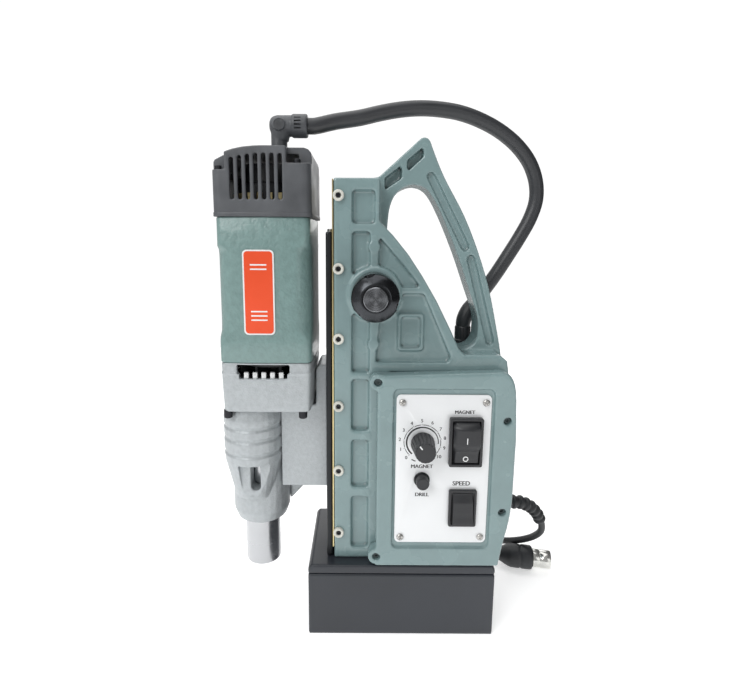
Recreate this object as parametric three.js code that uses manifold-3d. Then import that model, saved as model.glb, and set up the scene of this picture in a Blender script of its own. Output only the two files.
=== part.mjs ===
// Magnetic drill press: electromagnet base, cast frame with handle, sliding motor carriage.
// Millimetres, +Z up, +X towards the control box end, -Y towards the operator's panel.
// The origin is the centre of the magnet's bottom face.
import * as THREE from "three";
import { mergeVertices } from "three/addons/utils/BufferGeometryUtils.js";
import Module from "manifold-3d";

const wasm = await Module();
wasm.setup();

// ---------------------------------------------------------------- driving dimensions
const GAP = 0.3; // between pieces that rest on each other
const RUNNING = 0.4; // round a piece that slides or turns

const magnetLength = 160;
const magnetWidth = 92;
const magnetHeight = 57;
const magnetTopThickness = 8;
const coilOuter = 31;
const coilInner = 16;
const coilDepth = 42;
const coilSpacing = 78;

const frameLeft = -58;
const frameDepth = 70;
const columnWidth = 36;
const columnTop = 387;
const frontWall = 9.5;
const pocketDepth = 5;
const armPocketDepth = 8;
const grooveDepth = 4;
const grooveWidth = 7;
const handleThickness = 27;
const handleTipX = 14.5;
const handleTipZ = 422;
const shelfTop = 247;
const shelfThickness = 14.5;
const boxWall = 6;
const boxRight = 91;

const coverDepth = 12.7;
const coverTop = 236;
const coverWall = 4.5;
const panelRecess = 2.5;
const panelThickness = 1.2;
const rearCoverDepth = 6;

const railThickness = 4.9;
const railTop = 345.7;
const railClearance = 1.6; // from the frame's left edge to the rail plate
const tongueDepth = 12.3;
const tongueMouth = 36; // dovetail width at the rail plate
const tongueRoot = 43; // dovetail width at its far side
const carriageTravel = 110;

const gearModule = 2;
const feedTeeth = 12;
const feedWidth = 16;
const rackBody = 7;
const hubZ = 296.6;
const hubRadius = 18.2;
const hubLength = 34;
const hubBoss = 21.2; // boss on the frame round the hub
const hubDisc = 22.4; // the pockets stop short of the boss
const hubDiscRadius = 9.2;
const shaftRadius = 8;

const gibScrewCount = 6;
const gibScrewPitch = 56.7;
const gibScrewLowest = 90;
const gibScrewRadius = 2.4;
const gibHeadRadius = 4.4;
const gibHeadHeight = 2.3;

const motorClearance = 10.1; // from the motor to the rail plate
const motorWidth = 76;
const motorDepth = 86;
const motorCorner = 8;
const motorBottom = 241.3;
const motorLength = 115;
const motorBore = 35;
const capHeight = 52.5;
const capWall = 3.5;
const gearboxHeight = 41.5;
const gearboxWall = 3.5;

const spindleOffset = 13.7; // from the motor's axis to the spindle's
const spindleRadius = 15.7;
const spindleEnd = 44.5;
const spindleSocket = 9.55; // 19 mm shank cutter socket
const noseOffset = 3.4; // from the spindle's axis to the nose's
const noseY = -12;
const noseRadius = 26;
const noseLowRadius = 25.4;
const noseBottom = 87.4;

const motorPinionTeeth = 8;
const firstGearTeeth = 24;
const firstModule = 1.25;
const secondPinionTeeth = 10;
const outputTeeth = 24;
const secondModule = 1.5;

const hoseDiameter = 12.6;
const cordDiameter = 6.6;

// ---------------------------------------------------------------- derived places
const magnetTop = magnetHeight + GAP + magnetTopThickness;
const frameBottom = magnetTop + GAP;
const frameFront = -frameDepth / 2;
const columnRight = frameLeft + columnWidth;
const channelBack = frameFront + frontWall;
const railRight = frameLeft - railClearance;
const railLeft = railRight - railThickness;
const railBottom = frameBottom + 0.7;
const tongueRight = railRight + tongueDepth;
const rackLeft = tongueRight + GAP;
const rackPitchX = rackLeft + rackBody + 1.25 * gearModule;
const pinionPitch = (gearModule * feedTeeth) / 2;
const hubX = rackPitchX + pinionPitch;
const coverBack = frameFront - GAP;
const coverFront = coverBack - coverDepth;
const panelFront = coverFront + panelRecess - panelThickness - GAP;
const panelBack = panelFront + panelThickness;
const gibScrewX = frameLeft + 3.8;
const motorTop = motorBottom + motorLength;
const capBottom = motorTop + GAP;
const capTop = capBottom + capHeight;
const gearboxTop = motorBottom - GAP;
const gearboxBottom = gearboxTop - gearboxHeight;
const noseTop = gearboxBottom - GAP;
const motorX = railLeft - motorClearance - motorWidth / 2;
const spindleX = motorX - spindleOffset;
const noseX = spindleX - noseOffset;
const motorLeft = motorX - motorWidth / 2;
const motorRight = motorX + motorWidth / 2;
const motorFront = -motorDepth / 2;
const bracketRight = railLeft - GAP;

// ---------------------------------------------------------------- materials
const look = (color, roughness, metalness) => new THREE.MeshStandardMaterial({ color, roughness, metalness });
const paint = look(0x6f8f8b, 0.35, 0.2);
const magnetPaint = look(0x34363c, 0.5, 0.3);
const blackPlastic = look(0x141416, 0.45, 0);
const castSilver = look(0xb4b8ba, 0.5, 0.7);
const steel = look(0xc4c6c8, 0.25, 1);
const darkSteel = look(0x2f343a, 0.35, 0.9);
const brass = look(0xc9a94a, 0.35, 1);
const copper = look(0xa85f32, 0.4, 0.9);
const rubber = look(0x17181a, 0.7, 0);
const panelWhite = look(0xe9ebec, 0.4, 0.1);
const orange = look(0xe0512a, 0.4, 0);
const board = look(0x2f6a3a, 0.6, 0);

// ---------------------------------------------------------------- solids
function solid(geometry) {
  const bare = geometry.clone();
  bare.deleteAttribute("normal");
  bare.deleteAttribute("uv");
  const merged = mergeVertices(bare, 1e-4);
  const index = merged.index.array;
  const kept = [];
  for (let i = 0; i < index.length; i += 3) {
    const [a, b, c] = [index[i], index[i + 1], index[i + 2]];
    if (a !== b && b !== c && a !== c) kept.push(a, b, c);
  }
  return new wasm.Manifold(
    new wasm.Mesh({
      numProp: 3,
      vertProperties: new Float32Array(merged.attributes.position.array),
      triVerts: new Uint32Array(kept),
    }),
  );
}

function toGeometry(manifold) {
  const mesh = manifold.getMesh();
  const geometry = new THREE.BufferGeometry();
  geometry.setAttribute("position", new THREE.BufferAttribute(mesh.vertProperties, 3));
  geometry.setIndex(new THREE.BufferAttribute(mesh.triVerts, 1));
  geometry.computeVertexNormals();
  return geometry;
}

const joined = (first, ...rest) => rest.reduce((all, next) => all.add(next), first);
const cut = (first, ...rest) => rest.reduce((all, next) => all.subtract(next), first);

function block(x0, x1, y0, y1, z0, z1) {
  const geometry = new THREE.BoxGeometry(x1 - x0, y1 - y0, z1 - z0);
  geometry.translate((x0 + x1) / 2, (y0 + y1) / 2, (z0 + z1) / 2);
  return solid(geometry);
}

// A round bar along an axis: "x", "y" or "z", from low to high, at the two other coordinates.
function bar(axis, radius, low, high, a, b, sides = 24, endRadius = radius) {
  const geometry = new THREE.CylinderGeometry(endRadius, radius, high - low, sides);
  if (axis === "x") geometry.rotateZ(-Math.PI / 2).translate((low + high) / 2, a, b);
  if (axis === "y") geometry.translate(a, (low + high) / 2, b);
  if (axis === "z") geometry.rotateX(Math.PI / 2).translate(a, b, (low + high) / 2);
  return solid(geometry);
}

function ring(axis, outer, inner, low, high, a, b, sides = 28) {
  const hole = bar(axis, inner, low - 1, high + 1, a, b, sides);
  return bar(axis, outer, low, high, a, b, sides).subtract(hole);
}

function outline(points) {
  return new THREE.Shape(points.map(([x, y]) => new THREE.Vector2(x, y)));
}

function roundedOutline(x0, x1, y0, y1, radius) {
  const shape = new THREE.Shape();
  shape.moveTo(x0 + radius, y0);
  shape.lineTo(x1 - radius, y0);
  shape.absarc(x1 - radius, y0 + radius, radius, -Math.PI / 2, 0, false);
  shape.lineTo(x1, y1 - radius);
  shape.absarc(x1 - radius, y1 - radius, radius, 0, Math.PI / 2, false);
  shape.lineTo(x0 + radius, y1);
  shape.absarc(x0 + radius, y1 - radius, radius, Math.PI / 2, Math.PI, false);
  shape.lineTo(x0, y0 + radius);
  shape.absarc(x0 + radius, y0 + radius, radius, Math.PI, Math.PI * 1.5, false);
  return shape;
}

// A side outline, drawn in X and Z, pushed along Y from y0 to y1.
function sidePlate(shape, y0, y1, steps = 6, bevel = 0) {
  const geometry = new THREE.ExtrudeGeometry(shape, {
    depth: y1 - y0 - 2 * bevel,
    curveSegments: steps,
    bevelEnabled: bevel > 0,
    bevelThickness: bevel,
    bevelSize: bevel,
    bevelOffset: -bevel,
    bevelSegments: 2,
  });
  geometry.rotateX(Math.PI / 2).translate(0, y1 - bevel, 0);
  return solid(geometry);
}

// A plan outline, drawn in X and Y, pushed up from z0 to z1.
function planPlate(shape, z0, z1, steps = 4) {
  const geometry = new THREE.ExtrudeGeometry(shape, { depth: z1 - z0, curveSegments: steps, bevelEnabled: false });
  geometry.translate(0, 0, z0);
  return solid(geometry);
}

// A turned piece: the profile lists [radius, height] up one side, starting and ending on the axis.
function turned(profile, axis, a, b, sides = 24) {
  const geometry = new THREE.LatheGeometry(profile.map(([r, h]) => new THREE.Vector2(r, h)), sides);
  if (axis === "z") geometry.rotateX(Math.PI / 2).translate(a, b, 0);
  if (axis === "y") geometry.translate(a, 0, b);
  if (axis === "x") geometry.rotateZ(-Math.PI / 2).translate(0, a, b);
  return solid(geometry);
}

function tube(points, diameter, steps, sides = 10) {
  const section = new THREE.Shape();
  for (let i = 0; i < sides; i += 1) {
    const angle = (i / sides) * Math.PI * 2;
    const place = [(diameter / 2) * Math.cos(angle), (diameter / 2) * Math.sin(angle)];
    if (i === 0) section.moveTo(...place);
    else section.lineTo(...place);
  }
  const path = new THREE.CatmullRomCurve3(points.map((p) => new THREE.Vector3(...p)), false, "centripetal");
  return solid(new THREE.ExtrudeGeometry(section, { steps, extrudePath: path, bevelEnabled: false }));
}

// Involute teeth, drawn about the origin with a tooth centred on the angle "start".
function gearOutline(teeth, module, start, backlash = 0.5) {
  const pitch = (teeth * module) / 2;
  const base = pitch * Math.cos(Math.PI / 9);
  const tip = pitch + module * 0.95;
  const root = pitch - module * 1.25;
  const involute = (radius) => {
    const pressure = Math.acos(Math.min(1, base / radius));
    return Math.tan(pressure) - pressure;
  };
  const half = (radius) => {
    const flank = Math.PI / (2 * teeth) + involute(pitch) - involute(Math.max(radius, base));
    return Math.max(0.12 / radius, flank - backlash / 2 / pitch);
  };
  const radii = [root, pitch, tip];
  const points = [];
  for (let tooth = 0; tooth < teeth; tooth += 1) {
    const centre = start + (tooth * Math.PI * 2) / teeth;
    for (const radius of radii) points.push([radius, centre - half(radius)]);
    for (const radius of radii.slice().reverse()) points.push([radius, centre + half(radius)]);
  }
  return points.map(([radius, angle]) => [radius * Math.cos(angle), radius * Math.sin(angle)]);
}

const hex = (acrossFlats, low, high, a, b, axis = "y") => bar(axis, acrossFlats / Math.sqrt(3), low, high, a, b, 6);

const group = new THREE.Group();
function add(name, manifold, material) {
  const mesh = new THREE.Mesh(toGeometry(manifold), material);
  mesh.name = name;
  group.add(mesh);
}

// ---------------------------------------------------------------- electromagnet base
{
  const coils = [-coilSpacing / 2, coilSpacing / 2];
  const groove = (x) => ring("z", coilOuter + GAP, coilInner - GAP, -1, coilDepth, x, 0, 24);
  const half = magnetLength / 2;
  const body = block(-half, half, -magnetWidth / 2, magnetWidth / 2, 0, magnetHeight);
  add("magnet_body", cut(body, ...coils.map(groove)), magnetPaint);
  coils.forEach((x, i) => {
    add(`magnet_coil_${i + 1}`, ring("z", coilOuter, coilInner, 0.5, coilDepth - GAP, x, 0, 24), copper);
  });
  const chamfer = 3;
  const plate = outline([
    [-half, magnetHeight + GAP],
    [half, magnetHeight + GAP],
    [half, magnetTop - chamfer],
    [half - chamfer, magnetTop],
    [-half + chamfer, magnetTop],
    [-half, magnetTop - chamfer],
  ]);
  add("magnet_top_plate", sidePlate(plate, -magnetWidth / 2, magnetWidth / 2), magnetPaint);
}

// ---------------------------------------------------------------- cast frame
const diagonal = [
  [columnRight, 354],
  [-11, 343],
  [1, 328.5],
  [12.5, 311.5],
  [24.5, 291.5],
  [36.5, 268],
  [44, 252],
  [49, shelfTop],
];

function handleOutline() {
  const shape = new THREE.Shape();
  shape.moveTo(frameLeft + 14, columnTop - 1);
  shape.lineTo(columnRight, columnTop + 3.4);
  shape.lineTo(handleTipX - 3, handleTipZ - 1.5);
  shape.quadraticCurveTo(handleTipX + 1.5, handleTipZ + 1, handleTipX + 4.4, handleTipZ - 4);
  shape.splineThru([
    [30.4, 391.5],
    [51.2, 354],
    [69.4, 307],
    [80.5, 262],
    [85.3, 238],
  ].map((p) => new THREE.Vector2(...p)));
  shape.lineTo(frameLeft + 14, 238);
  shape.closePath();
  const hole = new THREE.Path();
  hole.moveTo(49, shelfTop);
  hole.quadraticCurveTo(61, shelfTop, 63.5, 258);
  hole.splineThru([
    [63, 275],
    [54, 301],
    [42.8, 331],
    [28.5, 363],
    [17.5, 380],
    [5, 384],
    [-7, 378],
    [-13, 366],
    [-15, 346.7],
  ].map((p) => new THREE.Vector2(...p)));
  for (const [x, z] of diagonal.slice(1, -1)) hole.lineTo(x, z);
  hole.closePath();
  shape.holes.push(hole);
  return shape;
}

const coverOutline = () => {
  const shape = new THREE.Shape();
  shape.moveTo(columnRight - 0.5, frameBottom + 1);
  shape.lineTo(81.5, frameBottom + 1);
  shape.quadraticCurveTo(83, 80, 86, 94);
  shape.quadraticCurveTo(90.5, 112, boxRight - 0.3, 135);
  shape.lineTo(boxRight, 180);
  shape.lineTo(boxRight - 1.6, 212);
  shape.quadraticCurveTo(boxRight - 2.5, coverTop, 77, coverTop);
  shape.lineTo(columnRight - 0.5, coverTop - 3);
  return shape;
};

const boxInside = () => roundedOutline(
  columnRight + boxWall,
  boxRight - 9 - boxWall,
  frameBottom + boxWall,
  shelfTop - shelfThickness,
  6,
);

function frameBody() {
  const body = outline([
    [frameLeft, frameBottom],
    [frameLeft, columnTop],
    [columnRight, columnTop],
    ...diagonal,
    [78, shelfTop],
    [84, shelfTop - 5],
    [boxRight - 3, 215],
    [boxRight - 1.5, 180],
    [boxRight - 1.8, 135],
    [85, 94],
    [80.5, frameBottom],
  ]);
  const half = handleThickness / 2;
  let casting = joined(
    sidePlate(body, frameFront, -frameFront),
    sidePlate(handleOutline(), -half, half, 4),
    bar("y", hubBoss, frameFront - 1.8, -frameFront + 1.8, hubX, hubZ, 28),
  );
  const rackSlot = feedWidth / 2 + 1.5;
  const slotRight = rackPitchX + gearModule + 1;
  casting = cut(
    casting,
    block(frameLeft - 1, tongueRight + RUNNING, channelBack, -channelBack, frameBottom - 1, columnTop + 9),
    block(frameLeft, slotRight, -rackSlot, rackSlot, frameBottom - 1, columnTop + 9),
    bar("y", pinionPitch + gearModule + 1, -rackSlot, rackSlot, hubX, hubZ, 20),
    bar("y", shaftRadius + 3 + GAP, frameFront - 3, -rackSlot + 1, hubX, hubZ, 20),
    bar("y", shaftRadius + RUNNING, 0, -frameFront - 8, hubX, hubZ, 20),
    sidePlate(boxInside(), frameFront - 1, -frameFront + 1, 3),
  );
  for (let i = 0; i < gibScrewCount; i += 1) {
    const z = gibScrewLowest + i * gibScrewPitch;
    casting = casting.subtract(bar("y", gibScrewRadius + GAP, frameFront - 1, channelBack + 1, gibScrewX, z, 12));
  }
  return casting;
}

// Shallow pockets between the ribs, the same on both faces.
function framePockets() {
  const left = frameLeft + 14.5;
  const right = columnRight - 7;
  const shapes = [
    [75, 122.5],
    [131, 173.5],
    [181.5, 226],
  ].map(([z0, z1]) => roundedOutline(left, right, z0, z1, 2.5));
  shapes.push(roundedOutline(left, columnRight - 3.5, 352, 378, 2.5));
  shapes.push(
    outline([
      [left, 346],
      [right, 346],
      [right, hubZ],
      [left, hubZ],
    ]),
    outline([
      [left, 232],
      [right, 232],
      [right, hubZ],
      [left, hubZ],
    ]),
    outline([
      [columnRight - 0.5, 343],
      [hubX + 3, hubZ + 14],
      [hubX + 16, hubZ + 5.2],
      [9.4, 302],
      [10.2, 304.5],
    ]),
    outline([
      [columnRight - 2, 240.5],
      [hubX + 4.9, hubZ - 16.6],
      [hubX + 17, hubZ + 0.5],
      [14.5, hubZ + 0.5],
      [37.5, 245],
      [35, 240.5],
    ]),
  );
  return shapes;
}

// Two deeper pockets in the handle's rising arm.
const armPockets = () => [
  outline([
    [-17.5, 389.4],
    [-17.5, 379.8],
    [-3.6, 389.2],
    [-3.6, 399.8],
  ]),
  outline([
    [0.7, 403.5],
    [0.7, 393.9],
    [13.8, 406.2],
    [13.8, 414.4],
  ]),
];

// Round bosses where ribs meet: X, Z and radius.
const ribBosses = [
  [-26, 334, 4.8],
  [-26, 255.5, 4.8],
  [-31, 177.5, 3.6],
  [-31, 126.8, 3.6],
];

const gripGrooves = [
  [[20.2, 391], [50.4, 334]],
  [[55.4, 324.5], [74.6, 254]],
];

// A straight groove with round ends.
function grooveOutline([[x0, z0], [x1, z1]], width) {
  const heading = Math.atan2(z1 - z0, x1 - x0);
  const shape = new THREE.Shape();
  shape.absarc(x1, z1, width / 2, heading - Math.PI / 2, heading + Math.PI / 2, false);
  shape.absarc(x0, z0, width / 2, heading + Math.PI / 2, heading + (3 * Math.PI) / 2, false);
  return shape;
}

{
  let casting = frameBody();
  const half = handleThickness / 2;
  const kept = bar("y", hubDisc, -frameDepth, frameDepth, hubX, hubZ, 40);
  for (const side of [-1, 1]) {
    const face = side * (frameDepth / 2);
    // From a depth below a face to a height above it, lower Y first.
    const reach = (from, below, above) => [from - side * below, from + side * above].sort((a, b) => a - b);
    const carve = (shape, from, depth) => {
      casting = casting.subtract(sidePlate(shape, ...reach(from, depth, 4), 2).subtract(kept));
    };
    framePockets().forEach((shape) => carve(shape, face, pocketDepth));
    armPockets().forEach((shape) => carve(shape, side * half, armPocketDepth));
    gripGrooves.forEach((groove) => carve(grooveOutline(groove, grooveWidth), side * half, grooveDepth));
    // Plain raised border inside the large pocket.
    const raised = sidePlate(roundedOutline(-6, 15, 250, 281, 3), ...reach(face, pocketDepth + 0.2, -2), 2);
    const inner = sidePlate(roundedOutline(-3.5, 12.5, 252.5, 278.5, 2), ...reach(face, 8, 1), 2);
    casting = casting.add(raised.subtract(inner));
    for (const [x, z, radius] of ribBosses) {
      casting = casting.add(bar("y", radius, ...reach(face, pocketDepth + 0.2, 0.4), x, z, 10));
    }
  }
  add("frame_casting", casting, paint);
}

// ---------------------------------------------------------------- control box
const earHoles = [
  [columnRight, 227],
  [columnRight, 74.5],
  [83, 195.5],
  [82.5, 116],
];
const panel = { left: -7, right: 69.5, bottom: 88.5, top: 217.3 };
const upperSwitch = { x: 49.3, z: 178.5, width: 27, height: 41 };
const lowerSwitch = { x: 48.8, z: 120.5, width: 23, height: 32.5 };
const dial = { x: 14.5, z: 177, shaft: 3, hole: 5 };
const button = { x: 14.8, z: 144.7, radius: 5.4, travel: 2.5 };
const switchHole = (s) => [s.x - s.width / 2, s.x + s.width / 2, s.z - s.height / 2, s.z + s.height / 2];

{
  const ears = [
    bar("y", 7, coverFront + 1, coverBack, columnRight, 227, 14),
    bar("y", 7, coverFront + 1, coverBack, columnRight, 74.5, 14),
  ];
  const inside = roundedOutline(panel.left - 6, boxRight - 16, frameBottom + 8, coverTop - 8, 5);
  let cover = joined(sidePlate(coverOutline(), coverFront, coverBack, 6, 1.5), ...ears);
  cover = cut(
    cover,
    sidePlate(inside, coverFront + coverWall + panelRecess, coverBack + 1, 3),
    sidePlate(
      roundedOutline(panel.left - 2.6, panel.right + 2.6, panel.bottom - 5.5, panel.top + 5, 5),
      coverFront - 1,
      coverFront + panelRecess,
      3,
    ),
    bar("y", 5.6, coverFront - 1, coverBack + 1, dial.x, dial.z, 14),
    bar("y", 7, coverFront - 1, coverBack + 1, button.x, button.z, 14),
  );
  for (const s of [upperSwitch, lowerSwitch]) {
    const [x0, x1, z0, z1] = switchHole(s);
    cover = cover.subtract(block(x0 + 1, x1 - 1, coverFront - 1, coverBack + 1, z0 + 1, z1 - 1));
  }
  for (const [x, z] of earHoles) {
    cover = cover.subtract(bar("y", 3.4, coverFront - 1, coverFront + 6, x, z, 10));
  }
  add("control_cover", cover, paint);

  const screwPlaces = [
    [panel.left + 4.8, panel.top - 6.5],
    [panel.right - 4.4, panel.top - 6.3],
    [panel.left + 4.7, panel.bottom + 4.8],
    [panel.right - 4.6, panel.bottom + 5.2],
  ];
  let plate = sidePlate(roundedOutline(panel.left, panel.right, panel.bottom, panel.top, 4), panelFront, panelBack, 4);
  for (const s of [upperSwitch, lowerSwitch]) {
    const [x0, x1, z0, z1] = switchHole(s);
    plate = plate.subtract(block(x0 + 1, x1 - 1, panelFront - 1, panelBack + 1, z0 + 1, z1 - 1));
  }
  plate = cut(
    plate,
    bar("y", dial.hole, panelFront - 1, panelBack + 1, dial.x, dial.z, 14),
    bar("y", 6.6, panelFront - 1, panelBack + 1, button.x, button.z, 14),
  );
  add("panel_plate", plate, panelWhite);
  screwPlaces.forEach(([x, z], i) => {
    const head = turned([[0, 0], [3.1, 0], [3.1, 0.9], [1.9, 1.8], [0, 1.8]], "y", 0, 0, 10);
    const placed = head.rotate([180, 0, 0]).translate([x, panelFront - GAP, z]);
    const slot = block(x - 2, x + 2, panelFront - 3, panelFront - 1.3, z - 0.4, z + 0.4);
    const cross = block(x - 0.4, x + 0.4, panelFront - 3, panelFront - 1.3, z - 2, z + 2);
    add(`panel_screw_${i + 1}`, cut(placed, slot, cross), steel);
  });

  // Each switch: a frame with a bezel on the panel, and a rocker that tips about X.
  // The end that stands out at rest is up when "end" is 1 and down when it is -1.
  const makeSwitch = (name, s, raised, end, standOut) => {
    const [x0, x1, z0, z1] = switchHole(s);
    const bezelBack = panelFront - GAP;
    const bezelFront = bezelBack - raised;
    const backEnd = coverBack + 9;
    const wall = 2.2;
    const body = joined(
      block(x0, x1, bezelFront, bezelBack, z0, z1),
      block(x0 + 1 + GAP, x1 - 1 - GAP, bezelBack - 0.1, backEnd, z0 + 1 + GAP, z1 - 1 - GAP),
    );
    const well = block(x0 + wall, x1 - wall, bezelFront - 1, backEnd - 8, z0 + wall, z1 - wall);
    add(`${name}_body`, body.subtract(well), blackPlastic);
    const reach = s.height / 2 - wall - 0.9;
    const pivotY = bezelFront + 4;
    const tipped = outline([
      [-standOut, end * (reach - 0.8)],
      [-3.4, end * reach],
      [3.6, end * (reach - 1.4)],
      [3.6, end * (-reach + 1.4)],
      [-3.4, -end * reach],
      [-4.6, end * (-reach + 0.8)],
      [-4.8, 0],
    ]);
    const rocker = planPlate(tipped, 0, s.width - 2 * wall - 1.2);
    add(
      `${name}_rocker`,
      rocker.rotate([90, 0, 90]).translate([x0 + wall + 0.6, pivotY, s.z]),
      blackPlastic,
    );
  };
  makeSwitch("magnet_switch", upperSwitch, 4.5, 1, 9.5);
  makeSwitch("speed_switch", lowerSwitch, 2.6, -1, 8.2);

  const bezelBack = panelFront - GAP;
  add("button_bezel", cut(
    joined(
      bar("y", 7.6, bezelBack - 2, bezelBack, button.x, button.z, 16),
      bar("y", 6.2, bezelBack - 0.1, coverBack + 8, button.x, button.z, 16),
    ),
    bar("y", button.radius + RUNNING, bezelBack - 3, coverBack + 5, button.x, button.z, 16),
  ), blackPlastic);
  add("drill_button", turned([
    [0, bezelBack - 8.5],
    [button.radius - 1, bezelBack - 8.5],
    [button.radius, bezelBack - 7.6],
    [button.radius, bezelBack + 2],
    [0, bezelBack + 2],
  ], "y", button.x, button.z, 16), blackPlastic);

  add("speed_potentiometer", joined(
    bar("y", 9, coverFront + panelRecess + coverWall + GAP, coverFront + panelRecess + coverWall + 10, dial.x, dial.z, 16),
    bar("y", 3.4, panelFront - 3, coverFront + panelRecess + coverWall + 1, dial.x, dial.z, 10),
  ), steel);

  const knobBack = panelFront - 1;
  const knobLength = 21;
  const knobFront = knobBack - knobLength;
  const knobRadius = 9.4;
  const flutes = 12;
  const scallop = (radius) => Array.from({ length: flutes * 3 }, (_, i) => {
    const angle = (i / (flutes * 3)) * Math.PI * 2;
    const r = radius - (i % 3 === 0 ? 0.9 : 0);
    return [r * Math.cos(angle) + dial.x, r * Math.sin(angle) + dial.z];
  });
  add("dial_knob", cut(
    joined(
      bar("y", knobRadius, knobBack - 2, knobBack, dial.x, dial.z, 36),
      sidePlate(outline(scallop(knobRadius - 0.4)), knobFront, knobBack - 1.9),
    ),
    bar("y", 3.4 + RUNNING, knobBack - 4.5, knobBack + 1, dial.x, dial.z, 10),
    block(dial.x - 0.5, dial.x + 0.5, knobFront - 1, knobFront + 0.7, dial.z + 1, dial.z + knobRadius + 1),
  ), blackPlastic);

  add("circuit_board", block(columnRight + 16, boxRight - 30, 6, 7.6, frameBottom + 26, coverTop - 40), board);

  const rearBack = -coverBack + rearCoverDepth;
  const rear = sidePlate(coverOutline(), -coverBack, rearBack, 6, 1.5);
  const rearRecess = roundedOutline(panel.left, panel.right, panel.bottom, panel.top, 6);
  add("rear_cover", rear.subtract(sidePlate(rearRecess, rearBack - 1.6, rearBack + 1, 3)), paint);
}

// ---------------------------------------------------------------- dovetail gibs and screws
const tongueHalf = (x) => {
  const share = (x - railRight) / tongueDepth;
  return (tongueMouth + (tongueRoot - tongueMouth) * share) / 2;
};
{
  const flangeLeft = railRight + GAP;
  const inner = (x) => -tongueHalf(x) - RUNNING;
  const section = (side) => outline([
    [flangeLeft, side * (frameFront + RUNNING)],
    [frameLeft - GAP, side * (frameFront + RUNNING)],
    [frameLeft - GAP, side * (channelBack + GAP)],
    [tongueRight, side * (channelBack + GAP)],
    [tongueRight, side * inner(tongueRight)],
    [flangeLeft, side * inner(flangeLeft)],
  ]);
  add("gib_front", planPlate(section(1), frameBottom + 10, columnTop - 1), brass);
  add("gib_rear", planPlate(section(-1), frameBottom + 10, columnTop - 1), brass);
  for (let i = 0; i < gibScrewCount; i += 1) {
    const z = gibScrewLowest + i * gibScrewPitch;
    const screw = joined(
      bar("y", gibScrewRadius, frameFront - 1, channelBack, gibScrewX, z, 12),
      bar("y", gibHeadRadius, frameFront - GAP - gibHeadHeight, frameFront - GAP, gibScrewX, z, 14),
    );
    const socket = hex(3, frameFront - gibHeadHeight - 1, frameFront + 1, gibScrewX, z);
    add(`gib_screw_${i + 1}`, screw.subtract(socket), steel);
  }
}

// ---------------------------------------------------------------- feed hub
{
  const hubBack = frameFront - 1.8 - GAP;
  const hubFront = hubBack - hubLength;
  const coneEnd = hubFront + 5;
  let hub = turned([
    [0, hubFront + 1.5],
    [hubDiscRadius + GAP, hubFront + 1.5],
    [hubDiscRadius + GAP, hubFront],
    [hubDiscRadius + 2.2, hubFront],
    [hubRadius - 0.6, coneEnd],
    [hubRadius, coneEnd + 2],
    [hubRadius, hubBack],
    [0, hubBack],
  ], "y", hubX, hubZ, 28);
  for (let i = 0; i < 3; i += 1) {
    const angle = (105 + i * 120) * (Math.PI / 180);
    const hole = bar("z", 4, 6, hubRadius + 6, 0, 0, 10).rotate([0, 90 - (angle * 180) / Math.PI, 0]);
    hub = hub.subtract(hole.translate([hubX, coneEnd + 6, hubZ]));
  }
  hub = hub.subtract(bar("y", shaftRadius - 2 + GAP, hubBack - 18, hubBack + 1, hubX, hubZ, 16));
  add("feed_hub", hub, darkSteel);
  add("hub_face", bar("y", hubDiscRadius, hubFront - 1.2, hubFront + 1.5 - GAP, hubX, hubZ, 24), darkSteel);
  const pinionHalf = feedWidth / 2;
  const pinion = sidePlate(outline(gearOutline(feedTeeth, gearModule, Math.PI)), -pinionHalf, pinionHalf);
  add("pinion_shaft", joined(
    pinion.translate([hubX, 0, hubZ]),
    bar("y", shaftRadius, frameFront, -frameFront - 9, hubX, hubZ, 16),
    bar("y", shaftRadius - 2, hubBack - 17.5, frameFront + 0.1, hubX, hubZ, 16),
  ), steel);
  add("hub_bush", ring("y", shaftRadius + 3, shaftRadius + RUNNING, frameFront - 1, -pinionHalf - 2, hubX, hubZ, 20), brass);
}

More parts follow.
